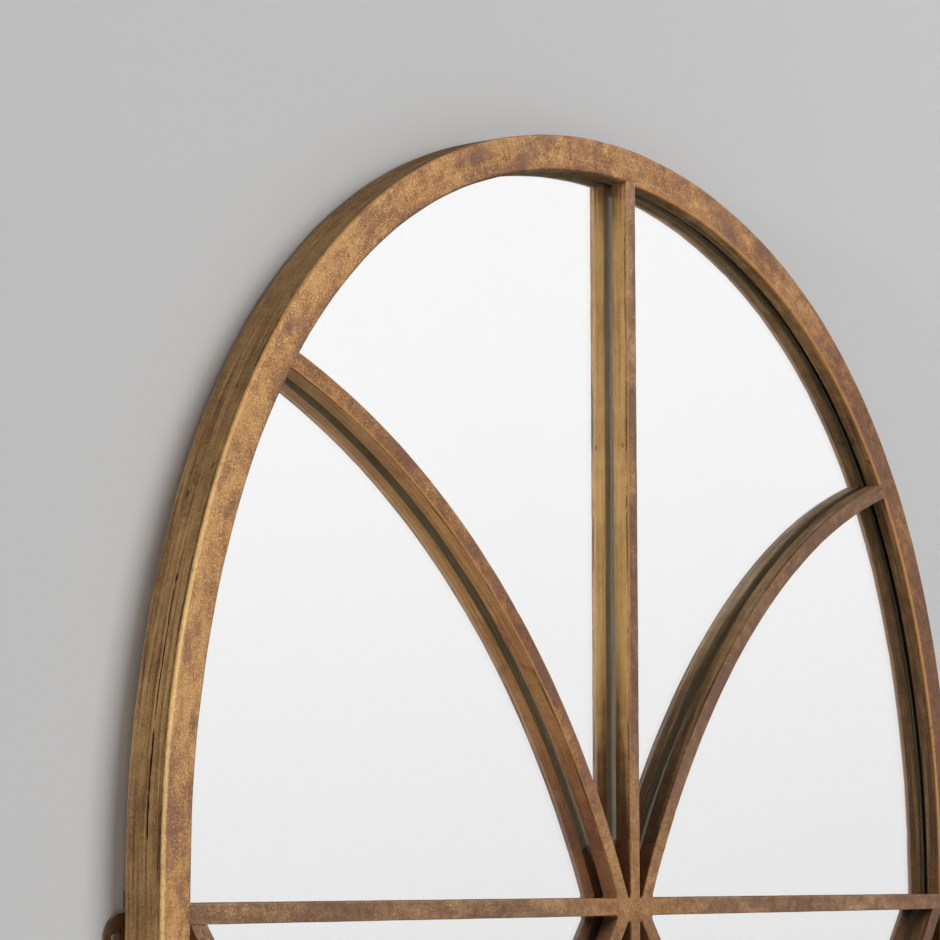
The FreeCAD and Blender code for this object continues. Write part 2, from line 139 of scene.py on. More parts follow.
class NodeBoard:
    """A material's node tree, with short calls for the nodes that the finishes share."""

    def __init__(self, tree: bpy.types.NodeTree) -> None:
        """Keep the tree that the nodes go into."""
        self.tree = tree

    def feed(self, socket: Socket, value: object) -> None:
        """Link a socket into an input, or set the input's own value.

        Args:
            socket: The input.
            value: A socket, a number, a colour or a vector.
        """
        if isinstance(value, Socket):
            self.tree.links.new(value, socket)
        elif socket.type == "RGBA" and len(value) == 3:
            socket.default_value = (*value, 1.0)
        else:
            socket.default_value = value

    def add(self, kind: str, fed: Optional[Fed] = None, **settings: object) -> bpy.types.NodeOutputs:
        """Add a node.

        Args:
            kind: The node's type.
            fed: What goes into its inputs, by their names or places.
            **settings: The node's own properties.

        Returns:
            The node's outputs.
        """
        node = self.tree.nodes.new(kind)
        for name, value in settings.items():
            setattr(node, name, value)
        for key, value in (fed or {}).items():
            self.feed(node.inputs[key], value)
        return node.outputs

    def place(self) -> Socket:
        """Return the position on the object."""
        return self.add("ShaderNodeTexCoord")["Object"]

    def run(self) -> Socket:
        """Return the distance along and around a swept piece."""
        return self.add("ShaderNodeUVMap", uv_map="Run")["UV"]

    def carried(self, name: str) -> Socket:
        """Return a number that the mesh carries at its points."""
        return self.add("ShaderNodeAttribute", attribute_name=name)["Fac"]

    def stretched(self, vector: Socket, scale: Triple) -> Socket:
        """Return a vector scaled along each of its axes."""
        return self.add("ShaderNodeMapping", {"Vector": vector, "Scale": scale})["Vector"]

    def noise(self, vector: Socket, grain: Grain) -> Socket:
        """Add a noise.

        Args:
            vector: Where it is read.
            grain: Its kind.

        Returns:
            The noise, from 0 to 1.
        """
        if grain.stretch is not None:
            vector = self.stretched(vector, grain.stretch)
        fed = {"Vector": vector, "Scale": grain.scale, "Detail": grain.detail, "Roughness": grain.rough,
               "Distortion": grain.warp}
        return self.add("ShaderNodeTexNoise", fed)[0]

    def cells(self, vector: Socket) -> Socket:
        """Return the distance to the nearest of scattered points, in cells."""
        return self.add("ShaderNodeTexVoronoi", {"Vector": vector, "Scale": 1.0})["Distance"]

    def maths(self, operation: str, *values: Value) -> Socket:
        """Return the result of a sum."""
        return self.add("ShaderNodeMath", dict(enumerate(values)), operation=operation)[0]

    def span(self, value: Value, span: Point, onto: Point = (0.0, 1.0)) -> Socket:
        """Return a value carried smoothly from one span to another, and held at the ends."""
        fed = dict(enumerate((value, *span, *onto)))
        return self.add("ShaderNodeMapRange", fed, interpolation_type="SMOOTHSTEP")[0]

    def blend(self, share: Value, first: object, second: object, mode: str = "MIX") -> Socket:
        """Return two colours mixed, with the second one's share."""
        fed = {0: share, 6: first, 7: second}
        return self.add("ShaderNodeMix", fed, data_type="RGBA", blend_type=mode)[2]

    def ramp(self, value: Socket, places: Sequence[float], colours: Sequence[Colour]) -> Socket:
        """Find the colour that a value has between stops.

        Args:
            value: The value.
            places: The values at the stops.
            colours: The colours at the stops.

        Returns:
            The colour.
        """
        found = self.add("ShaderNodeValToRGB", {0: value})[0]
        stops = found.node.color_ramp.elements
        while len(stops) < len(places):
            stops.new(1.0)
        for stop, place, colour in zip(stops, places, colours):
            stop.position = place
            stop.color = (*colour, 1.0)
        return found

    def bump(self, height: Socket, rise: float, **over: Socket) -> Socket:
        """Return the normal of a surface that rises with a height, over another Normal if given."""
        return self.add("ShaderNodeBump", {"Distance": rise, "Height": height, **over})["Normal"]


class Finish(ABC):
    """A material with a name, made once and shared."""

    name: str

    def material(self) -> bpy.types.Material:
        """Make the finish's material on its first use.

        Returns:
            The material.
        """
        label = self.name + "_finish"
        made = bpy.data.materials.get(label)
        if made is None:
            made = bpy.data.materials.new(label)
            made.use_nodes = True
            self.paint(NodeBoard(made.node_tree), made.node_tree.nodes["Principled BSDF"].inputs)
        return made

    @abstractmethod
    def paint(self, board: NodeBoard, shader: Inputs) -> None:
        """Lay the finish's nodes.

        Args:
            board: The material's nodes.
            shader: The inputs of its surface shader.
        """


@dataclass(frozen=True)
class GildedWood(Finish):
    """Wood under a sponged antique gold, worn bright on its edges with a painted highlight, streaked along
    its grain, and darkened towards the lower right with painted shade.
    """

    name: str
    gold: Colour = (0.61, 0.35, 0.135)
    ochre: Colour = (0.42, 0.212, 0.085)
    rust: Colour = (0.265, 0.122, 0.056)
    umber: Colour = (0.15, 0.073, 0.047)
    mauve: Colour = (0.25, 0.135, 0.092)
    worn: Colour = (0.95, 0.66, 0.28)
    rubbed_and_lit: Colour = (0.80, 0.40, 0.13)
    grime: Colour = (0.028, 0.016, 0.010)
    pit: Colour = (0.03, 0.018, 0.012)
    warm: Colour = (1.0, 1.0, 1.0)
    metal: float = 0.3
    sheen: float = 0.12
    rough: float = 0.46
    mottle: float = 0.42
    cloud: float = 0.45
    fleck: float = 0.24
    broad: float = 0.30
    light_falloff: float = 0.20
    bloom: float = 0.55
    grain: float = 0.12
    pits: float = 0.0
    wear: float = 0.9
    stops: Sequence[float] = (0.28, 0.44, 0.57, 0.72)
    speck_span: Point = (0.34, 0.66)
    bloom_span: Point = (0.50, 0.68)
    rub_span: Point = (0.22, 0.46)
    rare_span: Point = (0.52, 0.66)
    pit_span: Point = (0.20, 0.08)
    bold_span: Point = (0.36, 0.62)
    bold_range: Point = (0.45, 1.5)
    # Painted shade: the way and span over which the colour darkens towards the lower right.
    light_falloff_way: Triple = (0.9, 0.0, -1.0)
    light_falloff_span: Point = (-0.75, 0.75)
    shade_way: Triple = (0.8, 0.0, 1.0)
    shade_span: Point = (-0.25, 0.10)
    dull_span: Point = (0.36, 0.66)
    dull_metal: float = 0.3
    dulling: float = 0.22
    sponge_share: float = 0.8
    skin_rise: float = 0.00022
    streak_rise: float = 0.0008
    broad_noise: Grain = Grain(7.0, 2.0)
    cloud_noise: Grain = Grain(1.0, 4.0, 0.55, 0.6, (24.0, 60.0, 1.0))
    sponge_noise: Grain = Grain(105.0, 4.0, 0.6, 0.5)
    speck_noise: Grain = Grain(860.0, 3.0, 0.7, 0.5)
    fine_noise: Grain = Grain(1.0, 5.0, 0.68, 0.6, (11.0, 400.0, 1.0))
    bold_noise: Grain = Grain(1.0, 2.0, stretch=(16.0, 90.0, 1.0))
    rub_noise: Grain = Grain(330.0, 3.0, 0.7)
    rare_noise: Grain = Grain(16.0, 2.0)
    pit_cells: Triple = (55.0, 190.0, 1.0)

    def paint(self, board: NodeBoard, shader: Inputs) -> None:
        """Lay the finish's nodes.

        Args:
            board: The material's nodes.
            shader: The inputs of its surface shader.
        """
        place, run, calm = board.place(), board.run(), board.carried("calm")
        cloud = self._calmed(board, board.noise(run, self.cloud_noise), calm)
        sponge = board.noise(place, self.sponge_noise)
        speck = board.span(board.noise(place, self.speck_noise), self.speck_span)
        streak = self._calmed(board, self._streaks(board, run), calm)
        broad = board.noise(place, self.broad_noise)
        # Painted shade: the colour browns towards the right and the bottom of the mirror, standing in for
        # light that falls off from the upper left.
        light_falloff = self._slope(board, place, self.light_falloff_way, self.light_falloff_span)
        patch = board.maths("ADD", board.carried("age"), MIDDLE)
        for value, share in ((sponge, self.mottle), (cloud, self.cloud), (speck, self.fleck),
                             (broad, self.broad), (light_falloff, self.light_falloff), (streak, self.grain)):
            patch = board.maths("MULTIPLY_ADD", board.maths("SUBTRACT", value, MIDDLE), share, patch)
        colour = board.ramp(patch, self.stops, (self.gold, self.ochre, self.rust, self.umber))
        bloom = board.maths("MULTIPLY", board.span(cloud, self.bloom_span), self.bloom)
        colour = board.blend(bloom, colour, self.mauve)
        colour = board.blend(calm, colour, self.warm, "MULTIPLY")
        if self.pits:
            colour = self._pitted(board, run, place, colour)
        # The edges take a bright colour that is partly real worn gilt and partly a painted highlight, set
        # where the edges catch the light.
        rub = board.span(board.noise(place, self.rub_noise), self.rub_span)
        edge = board.maths("MULTIPLY", board.maths("MULTIPLY", board.carried("worn"), rub), self.wear)
        shade = self._slope(board, place, self.shade_way, self.shade_span)
        colour = board.blend(edge, colour, board.blend(shade, self.worn, self.rubbed_and_lit))
        # Painted shade: a near-black colour darkens the open cracks and the left frame's inner edge,
        # standing in for the shade in them.
        board.feed(shader["Base Color"], board.blend(board.carried("grime"), colour, self.grime))
        metals = (self.metal, self.metal * self.dull_metal)
        board.feed(shader["Metallic"], board.span(patch, self.dull_span, metals))
        roughs = (self.rough, self.rough + self.dulling)
        board.feed(shader["Roughness"], board.span(patch, self.dull_span, roughs))
        shader["Specular IOR Level"].default_value = self.sheen
        height = board.maths("ADD", speck, board.maths("MULTIPLY", sponge, self.sponge_share))
        skin = board.bump(height, self.skin_rise)
        board.feed(shader["Normal"], board.bump(streak, self.streak_rise * self.grain, Normal=skin))

    @staticmethod
    def _calmed(board: NodeBoard, value: Socket, calm: Socket) -> Socket:
        """Return a value that is drawn to its middle where the surface is calm."""
        return board.maths("MULTIPLY_ADD", board.maths("SUBTRACT", MIDDLE, value), calm, value)

    def _streaks(self, board: NodeBoard, run: Socket) -> Socket:
        """Draw the grain's streaks, bold in some places and faint in others.

        Args:
            board: The material's nodes.
            run: The distance along and around the piece.

        Returns:
            The streaks, about the middle.
        """
        fine = board.maths("SUBTRACT", board.noise(run, self.fine_noise), MIDDLE)
        bold = board.span(board.noise(run, self.bold_noise), self.bold_span, self.bold_range)
        return board.maths("ADD", board.maths("MULTIPLY", fine, bold), MIDDLE)

    @staticmethod
    def _slope(board: NodeBoard, place: Socket, way: Triple, span: Point) -> Socket:
        """Return how far a place lies along a direction, from 0 to 1 over a span."""
        along = board.add("ShaderNodeVectorMath", {0: place, 1: way}, operation="DOT_PRODUCT")
        return board.span(along["Value"], span)

    def _pitted(self, board: NodeBoard, run: Socket, place: Socket, colour: Socket) -> Socket:
        """Add short dark pits along the grain to a colour.

        Args:
            board: The material's nodes.
            run: The distance along and around the piece.
            place: The place on the mirror.
            colour: The colour between the pits.

        Returns:
            The pitted colour.
        """
        cells = board.cells(board.stretched(run, self.pit_cells))
        rare = board.span(board.noise(place, self.rare_noise), self.rare_span)
        pit = board.maths("MULTIPLY", board.span(cells, self.pit_span), rare)
        return board.blend(board.maths("MULTIPLY", pit, self.pits), colour, self.pit)


@dataclass(frozen=True)
class TwoTone(Finish):
    """A finish that clouds and a grain blend from one tone to another, with the grain standing up."""

    name: str
    first: Colour
    second: Colour
    rough: Point
    grain: Grain
    rise: float
    stops: Point
    cloud: Optional[Grain] = None
    cloud_share: float = 0.0
    gloss_span: Point = (0.3, 0.7)
    gloss_by_grain: bool = False
    metal: float = 0.0

    def paint(self, board: NodeBoard, shader: Inputs) -> None:
        """Lay the finish's nodes.

        Args:
            board: The material's nodes.
            shader: The inputs of its surface shader.
        """
        place = board.place()
        grain = board.noise(place, self.grain)
        tone = grain
        if self.cloud is not None:
            rest = board.maths("MULTIPLY", grain, 1.0 - self.cloud_share)
            tone = board.maths("MULTIPLY_ADD", board.noise(place, self.cloud), self.cloud_share, rest)
        board.feed(shader["Base Color"], board.ramp(tone, self.stops, (self.first, self.second)))
        gloss = grain if self.gloss_by_grain else tone
        board.feed(shader["Roughness"], board.span(gloss, self.gloss_span, self.rough))
        board.feed(shader["Normal"], board.bump(grain, self.rise))
        shader["Metallic"].default_value = self.metal


@dataclass(frozen=True)
class BareWood(TwoTone):
    """Plain or stained wood with a lengthwise grain."""

    rough: Point = (0.80, 0.68)
    grain: Grain = Grain(1.0, 5.0, 0.62, 0.6, (30.0, 400.0, 30.0))
    rise: float = 0.00025
    stops: Point = (0.32, 0.66)
    cloud: Optional[Grain] = Grain(14.0, 3.0)
    cloud_share: float = 0.4


@dataclass(frozen=True)
class FibreBoard(TwoTone):
    """Pressed fibre board with a fine matted face."""

    rough: Point = (0.5, 0.74)
    grain: Grain = Grain(1.0, 4.0, 0.7, 1.2, (420.0, 420.0, 900.0))
    rise: float = 0.00018
    stops: Point = (0.36, 0.64)
    cloud: Optional[Grain] = Grain(9.0, 4.0, 0.6)
    cloud_share: float = 0.55
    gloss_by_grain: bool = True


@dataclass(frozen=True)
class AgedMetal(TwoTone):
    """Plate or wire metal, brushed, with duller clouds."""

    grain: Grain = Grain(1.0, 2.0, stretch=(2400.0, 300.0, 220.0))
    rise: float = 0.00004
    stops: Point = (0.38, 0.62)
    cloud: Optional[Grain] = Grain(130.0, 5.0, 0.65)
    cloud_share: float = 1.0
    gloss_span: Point = (0.35, 0.65)
    metal: float = 1.0


@dataclass(frozen=True)
class SoftSheet(TwoTone):
    """Foam, card or felt: a matt sheet with a fine nap."""

    rough: Point = (0.95, 0.8)
    grain: Grain = Grain(500.0, 4.0, 0.7, 0.8)
    rise: float = 0.0003
    stops: Point = (0.34, 0.66)


@dataclass(frozen=True)
class ClearGlass(Finish):
    """Float glass with the faint green of its iron."""

    name: str
    tint: Colour = (0.997, 1.0, 0.998)
    haze: Colour = (0.992, 0.997, 0.994)
    cloud: Grain = Grain(3.0, 2.0)
    bending: float = 1.52
    sheen: float = 0.3

    def paint(self, board: NodeBoard, shader: Inputs) -> None:
        """Lay the finish's nodes.

        Args:
            board: The material's nodes.
            shader: The inputs of its surface shader.
        """
        cloud = board.noise(board.place(), self.cloud)
        board.feed(shader["Base Color"], board.blend(cloud, self.tint, self.haze))
        shader["Roughness"].default_value = 0.0
        shader["IOR"].default_value = self.bending
        shader["Specular IOR Level"].default_value = self.sheen
        shader["Transmission Weight"].default_value = 1.0


@dataclass(frozen=True)
class Silvering(Finish):
    """The silver behind the glass, a little clouded."""

    name: str
    bright: Colour = (0.96, 0.96, 0.958)
    clouded: Colour = (0.945, 0.947, 0.945)
    cloud: Grain = Grain(2.5, 3.0)

    def paint(self, board: NodeBoard, shader: Inputs) -> None:
        """Lay the finish's nodes.

        Args:
            board: The material's nodes.
            shader: The inputs of its surface shader.
        """
        cloud = board.noise(board.place(), self.cloud)
        board.feed(shader["Base Color"], board.blend(cloud, self.bright, self.clouded))
        shader["Metallic"].default_value = 1.0
        shader["Roughness"].default_value = 0.0


GILDED_FACE = GildedWood("gilded_face")
GILDED_SIDE = GildedWood(
    "gilded_side", gold=(0.50, 0.31, 0.125), ochre=(0.345, 0.20, 0.080), rust=(0.215, 0.118, 0.050),
    umber=(0.11, 0.060, 0.032), metal=0.2, rough=0.56, mottle=0.3, cloud=0.3, fleck=0.12, bloom=0.0,
    grain=0.9, pits=0.95, wear=0.8)
TRACERY_FACE = GildedWood(
    "gilded_bar_face", gold=(0.54, 0.34, 0.18), ochre=(0.39, 0.225, 0.115), rust=(0.25, 0.137, 0.076),
    umber=(0.155, 0.083, 0.053), fleck=0.20, warm=(1.10, 0.98, 0.74))
GILDED_BAR = GildedWood(
    "gilded_bar_side", gold=(0.74, 0.46, 0.17), ochre=(0.54, 0.31, 0.115), rust=(0.33, 0.155, 0.065),
    umber=(0.17, 0.083, 0.045), mottle=0.2, cloud=0.25, fleck=0.08, bloom=0.0, grain=0.55, pits=0.6,
    wear=0.8)
KHAKI_BAR = GildedWood(
    "khaki_bar_side", gold=(0.56, 0.37, 0.176), ochre=(0.39, 0.242, 0.11), rust=(0.25, 0.143, 0.066),
    umber=(0.13, 0.07, 0.037), mottle=0.2, cloud=0.25, fleck=0.10, bloom=0.0, grain=0.8, pits=0.6,
    wear=0.8)
RUDDY_BAR = GildedWood(
    "ruddy_bar_side", gold=(0.66, 0.36, 0.13), ochre=(0.45, 0.215, 0.082), rust=(0.28, 0.12, 0.052),
    umber=(0.155, 0.07, 0.04), mottle=0.25, cloud=0.25, fleck=0.10, bloom=0.0, grain=0.65, pits=0.6,
    wear=0.8)
# The backs of the bars and the front layer, seen only in the mirror, are a pale olive gold: partly their own
# paint, partly painted light that lifts them where little light reaches.
GILDED_BACK_WITH_PAINTED_LIGHT = GildedWood(
    "gilded_bar_back", gold=(0.80, 0.66, 0.40), ochre=(0.68, 0.54, 0.31), rust=(0.54, 0.41, 0.22),
    umber=(0.36, 0.26, 0.14), mottle=0.2, cloud=0.2, fleck=0.05, bloom=0.0, grain=0.7, wear=0.6)
STAINED_BACK = BareWood("stained_back", (0.12, 0.066, 0.033), (0.25, 0.15, 0.075))
# Inside the seam's slit the wood is near black: partly raw wood, partly painted shade for the slit's depth.
CREVICE_WOOD_IN_PAINTED_SHADE = BareWood("dark_crevice", (0.03, 0.018, 0.012), (0.075, 0.042, 0.024), (0.97, 0.85))
DOWEL_WOOD = BareWood("dowel_wood", (0.47, 0.31, 0.17), (0.66, 0.48, 0.29))
HARDBOARD = FibreBoard("hardboard_back", (0.15, 0.085, 0.045), (0.30, 0.185, 0.10))
CLEAR_GLASS = ClearGlass("clear_float_glass")
SILVERING = Silvering("silvering")
# The wall plates' dark bronze is partly their aged colour and partly painted shade, darkened as if in the
# frame's shadow.
AGED_BRASS_IN_PAINTED_SHADE = AgedMetal("aged_brass", (0.13, 0.075, 0.042), (0.055, 0.032, 0.02), (0.45, 0.70))
PLATED_STEEL = AgedMetal("plated_steel", (0.72, 0.70, 0.64), (0.46, 0.44, 0.40), (0.28, 0.53))
FOAM_TAPE = SoftSheet("black_foam_tape", (0.06, 0.045, 0.033), (0.13, 0.095, 0.068),
                      grain=Grain(1500.0, 4.0, 0.7, 0.8))
BROWN_CARD = SoftSheet("brown_card", (0.40, 0.27, 0.15), (0.52, 0.37, 0.22))
GREY_FELT = SoftSheet("grey_felt", (0.12, 0.115, 0.11), (0.26, 0.25, 0.235),
                      grain=Grain(2200.0, 4.0, 0.7, 0.8), rise=0.0006)


@dataclass(frozen=True)
class Levels:
    """The depths and half widths that the solids share."""

    front: float
    seam: float
    panel: float
    back: float
    half_width: float
    face: float
    rim: float
    ledge: float
    foot: float
    springing: float

    @classmethod
    def from_frame(cls, panel_clearance: float = 0.0005) -> "Levels":
        """Read the levels from the solids.

        Args:
            panel_clearance: The gap round the back panel.

        Returns:
            The levels.
        """
        stile_low, stile_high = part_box("front_stile_right")
        back_low, back_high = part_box("back_stile_right")
        panel_low, panel_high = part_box("back_panel")
        half = stile_high.x
        return cls(front=stile_low.y, seam=stile_high.y, panel=panel_low.y, back=back_high.y,
                   half_width=half, face=half - stile_low.x, rim=half - back_low.x,
                   ledge=half - panel_high.x - panel_clearance, foot=stile_low.z,
                   springing=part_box("front_arch_right")[1].z - half)


@dataclass(frozen=True)
class ArchOutline:
    """The outline: straight sides, then flank, haunch and crown arcs that run into each other."""

    half_width: float
    springing: float
    haunch_share: float = 0.9
    turn: float = math.radians(22.5)

    @property
    def haunch_radius(self) -> float:
        """Return the radius of the haunches."""
        return self.half_width * self.haunch_share

    @property
    def flank_radius(self) -> float:
        """Return the radius that the flanks and the crown share."""
        spread = math.cos(self.turn) - math.sin(self.turn)
        return (self.half_width - spread * self.haunch_radius) / (1 - spread)

    @property
    def arcs(self) -> list[tuple[float, float, float, float]]:
        """Work out the right-hand arcs.

        Returns:
            Each arc as its centre, radius and end angle, from the springing up.
        """
        step = self.flank_radius - self.haunch_radius
        flank_x = self.half_width - self.flank_radius
        haunch_x = flank_x + step * math.cos(self.turn)
        haunch_z = self.springing + step * math.sin(self.turn)
        crown_z = haunch_z - step * math.cos(self.turn)
        return [
            (flank_x, self.springing, self.flank_radius, self.turn),
            (haunch_x, haunch_z, self.haunch_radius, math.pi / 2 - self.turn),
            (0.0, crown_z, self.flank_radius, math.pi / 2),
        ]

    @property
    def crown(self) -> float:
        """Return the run from the springing to the crown."""
        return 2 * self.flank_radius * self.turn + self.haunch_radius * (math.pi / 2 - 2 * self.turn)

    def place(self, run: Array, inset: Array) -> tuple[Array, Array]:
        """Find points of the outline's right half and beyond.

        Args:
            run: The distance from the springing, down the stile where it is negative.
            inset: How far inside the outline each point lies.

        Returns:
            The points' places across and their heights.
        """
        run, inset = np.broadcast_arrays(np.asarray(run, float), np.asarray(inset, float))
        over = run > self.crown
        run = np.where(over, 2 * self.crown - run, run)
        x = self.half_width - inset
        z = self.springing + run
        start_run, start_angle = 0.0, 0.0
        for centre_x, centre_z, radius, end_angle in self.arcs:
            angle = start_angle + (run - start_run) / radius
            on_arc = run > start_run
            x = np.where(on_arc, centre_x + (radius - inset) * np.cos(angle), x)
            z = np.where(on_arc, centre_z + (radius - inset) * np.sin(angle), z)
            start_run += radius * (end_angle - start_angle)
            start_angle = end_angle
        return np.where(over, -x, x), z

    def clearance(self, x: Array, z: Array, inset: float) -> Array:
        """Measure how far points lie inside the outline moved in by an inset.

        Args:
            x: The points' places across.
            z: Their heights.
            inset: How far the outline is moved in.

        Returns:
            The distances, negative outside.
        """
        across = np.abs(x)
        inside = self.half_width - inset - across
        start_angle = 0.0
        haunch_x, haunch_z = self.arcs[1][:2]
        slope = np.arctan2(z - haunch_z, across - haunch_x)
        for centre_x, centre_z, radius, end_angle in self.arcs:
            on_arc = (z > self.springing) & ((slope >= start_angle) | (start_angle == 0.0))
            inside = np.where(on_arc, radius - inset - np.hypot(across - centre_x, z - centre_z), inside)
            start_angle = end_angle
        return inside

    def reach(self, inset: float, angle: float) -> Point:
        """Find the point of an inset that is seen from the springing's centre at an angle.

        Args:
            inset: How far inside the outline it lies.
            angle: The angle, from the right.

        Returns:
            The point's place across and its height.
        """
        low, high = 0.0, 2 * self.half_width
        while high - low > TINY:
            middle = (low + high) / 2
            x, z = middle * math.cos(angle), self.springing + middle * math.sin(angle)
            if self.clearance(np.array(x), np.array(z), inset) > 0:
                low = middle
            else:
                high = middle
        return low * math.cos(angle), self.springing + low * math.sin(angle)


class Path(ABC):
    """A line in the mirror's plane that a section is swept along."""

    side: int
    halvings: int = 32

    @abstractmethod
    def place(self, run: Array, offset: Array) -> tuple[Array, Array]:
        """Find points beside the path.

        Args:
            run: The distances along it.
            offset: The distances to its side.

        Returns:
            The points' places across and their heights.
        """

    def trimmed(self, offset: Array, inside: float, outside: float, keep: Keep) -> Array:
        """Scribe an end of the path to what it meets.

        Args:
            offset: The distances to the side at which it is scribed.
            inside: A run at which every point is kept.
            outside: A run at which none is.
            keep: How far a point lies on the kept side.

        Returns:
            The run at which each offset ends.
        """
        low = np.full(offset.shape, inside, float)
        high = np.full(offset.shape, outside, float)
        for _ in range(self.halvings):
            middle = (low + high) / 2
            kept = keep(*self.place(middle, offset)) >= 0
            low = np.where(kept, middle, low)
            high = np.where(kept, high, middle)
        return low


@dataclass(frozen=True)
class OutlinePath(Path):
    """The outline on one side of the mirror."""

    outline: ArchOutline
    side: int = Side.RIGHT

    def place(self, run: Array, offset: Array) -> tuple[Array, Array]:
        """Return the points at an inset of the outline."""
        x, z = self.outline.place(run, offset)
        return self.side * x, z


@dataclass(frozen=True)
class FootPath(Path):
    """The outline's straight foot, from left to right."""

    foot: float
    side: int = Side.RIGHT

    def place(self, run: Array, offset: Array) -> tuple[Array, Array]:
        """Return the points at an inset over the foot."""
        run, offset = np.broadcast_arrays(run, offset)
        return run.copy(), self.foot + offset


@dataclass(frozen=True)
class StraightPath(Path):
    """A straight bar's centre line on the right, or its twin on the left."""

    start: Point
    end: Point
    side: int = Side.RIGHT

    @property
    def length(self) -> float:
        """Return the line's length."""
        return math.hypot(self.end[0] - self.start[0], self.end[1] - self.start[1])

    @property
    def along(self) -> Point:
        """Return the line's direction."""
        return (self.end[0] - self.start[0]) / self.length, (self.end[1] - self.start[1]) / self.length

    def place(self, run: Array, offset: Array) -> tuple[Array, Array]:
        """Find points beside the line.

        Args:
            run: The distances along it.
            offset: The distances to its side.

        Returns:
            The points' places across and their heights.
        """
        x, z = self.along
        across = self.start[0] + x * run + z * offset
        return self.side * across, self.start[1] + z * run - x * offset

    def distance(self, x: Array, z: Array) -> Array:
        """Return how far points lie from the line."""
        along_x, along_z = self.along
        return np.abs((self.side * x - self.start[0]) * along_z - (z - self.start[1]) * along_x)


@dataclass(frozen=True)
class ArcPath(Path):
    """A curved bar's centre line on the right, or its twin on the left, turning clockwise."""

    centre: Point
    radius: float
    start: float
    side: int = Side.RIGHT

    def place(self, run: Array, offset: Array) -> tuple[Array, Array]:
        """Find points beside the arc.

        Args:
            run: The distances along it.
            offset: The distances outside it.

        Returns:
            The points' places across and their heights.
        """
        angle = self.start - run / self.radius
        across = self.centre[0] + (self.radius + offset) * np.cos(angle)
        return self.side * across, self.centre[1] + (self.radius + offset) * np.sin(angle)


@dataclass(frozen=True)
class BayWindow:
    """One half of a lattice bay, between the centre bar, the transoms and the frame."""

    side: int
    near: float
    far: float
    low: float
    high: float

    def inside(self, x: Array, z: Array) -> Array:
        """Measure how far points lie inside the window.

        Args:
            x: The points' places across.
            z: Their heights.

        Returns:
            The distances, negative outside.
        """
        across = self.side * x
        beside = np.minimum(self.far - across, across - self.near)
        return np.minimum(beside, np.minimum(self.high - z, z - self.low))


@dataclass(frozen=True)
class Corner:
    """A corner of a section: its place, its rounding, and the zone of the strip that leaves it.

    A slit corner moves in depth with the seam's slit, and a crack corner moves inwards with its crack.
    """

    offset: float
    depth: float
    zone: Zone
    round: float = 0.0
    worn: float = 0.0
    slit: float = 0.0
    crack: float = 0.0
    grime: float = 0.0


@dataclass
class Section:
    """A closed section as columns of points, finer beside its rounded corners."""

    corners: Sequence[Corner]
    step: float = 0.0022
    guard: float = 0.0009
    arc_steps: int = 4
    offset: Array = field(init=False)
    depth: Array = field(init=False)
    worn: Array = field(init=False)
    slit: Array = field(init=False)
    crack: Array = field(init=False)
    grime: Array = field(init=False)
    zone: list[Zone] = field(init=False)
    around: Array = field(init=False)

    def __post_init__(self) -> None:
        """Lay out the columns."""
        places: list[Array] = []
        carried: list[tuple[float, float, float, float]] = []
        self.zone = []
        arcs = [self._arc(index) for index in range(len(self.corners))]
        for index, corner in enumerate(self.corners):
            arc = arcs[index]
            for step, point in enumerate(arc):
                share = math.sin(math.pi * (step + 0.5) / len(arc)) ** 2 if corner.round else 1.0
                places.append(point)
                carried.append((corner.worn * share, corner.slit, corner.crack, corner.grime * share))
                self.zone.append(Zone.FACE if corner.round and step < len(arc) - 1 else corner.zone)
            end = arcs[(index + 1) % len(arcs)][0]
            for share in self._shares(arc[-1], end):
                places.append(arc[-1] + (end - arc[-1]) * share)
                carried.append((0.0, 0.0, 0.0, 0.0))
                self.zone.append(corner.zone)
        self.offset, self.depth = np.array(places).T
        self.worn, self.slit, self.crack, self.grime = np.array(carried).T
        steps = np.hypot(np.diff(self.offset, append=self.offset[0]),
                         np.diff(self.depth, append=self.depth[0]))
        self.around = np.concatenate([[0.0], np.cumsum(steps)])

    def _arc(self, index: int) -> list[Array]:
        """Round a corner.

        Args:
            index: The corner's place in the section.

        Returns:
            The points of its arc, or one point where it is sharp.
        """
        corner = self.corners[index]
        place = np.array((corner.offset, corner.depth))
        if not corner.round:
            return [place]
        ways = []
        for other in (self.corners[index - 1], self.corners[(index + 1) % len(self.corners)]):
            way = np.array((other.offset, other.depth)) - place
            ways.append(way / np.hypot(*way) * corner.round)
        angles = np.linspace(0.0, math.pi / 2, self.arc_steps + 1)
        centre = place + ways[0] + ways[1]
        return [centre - ways[1] * math.cos(angle) - ways[0] * math.sin(angle) for angle in angles]

    def _shares(self, start: Array, end: Array) -> list[float]:
        """Divide a strip into columns.

        Args:
            start: The strip's first point.
            end: Its last point.

        Returns:
            The shares of the strip at which it has columns between its ends.
        """
        length = float(np.hypot(*(end - start)))
        count = int(length / self.step)
        if count < 2:
            return []
        near = self.guard / length
        return sorted({near, 1.0 - near, *(index / count for index in range(1, count))})


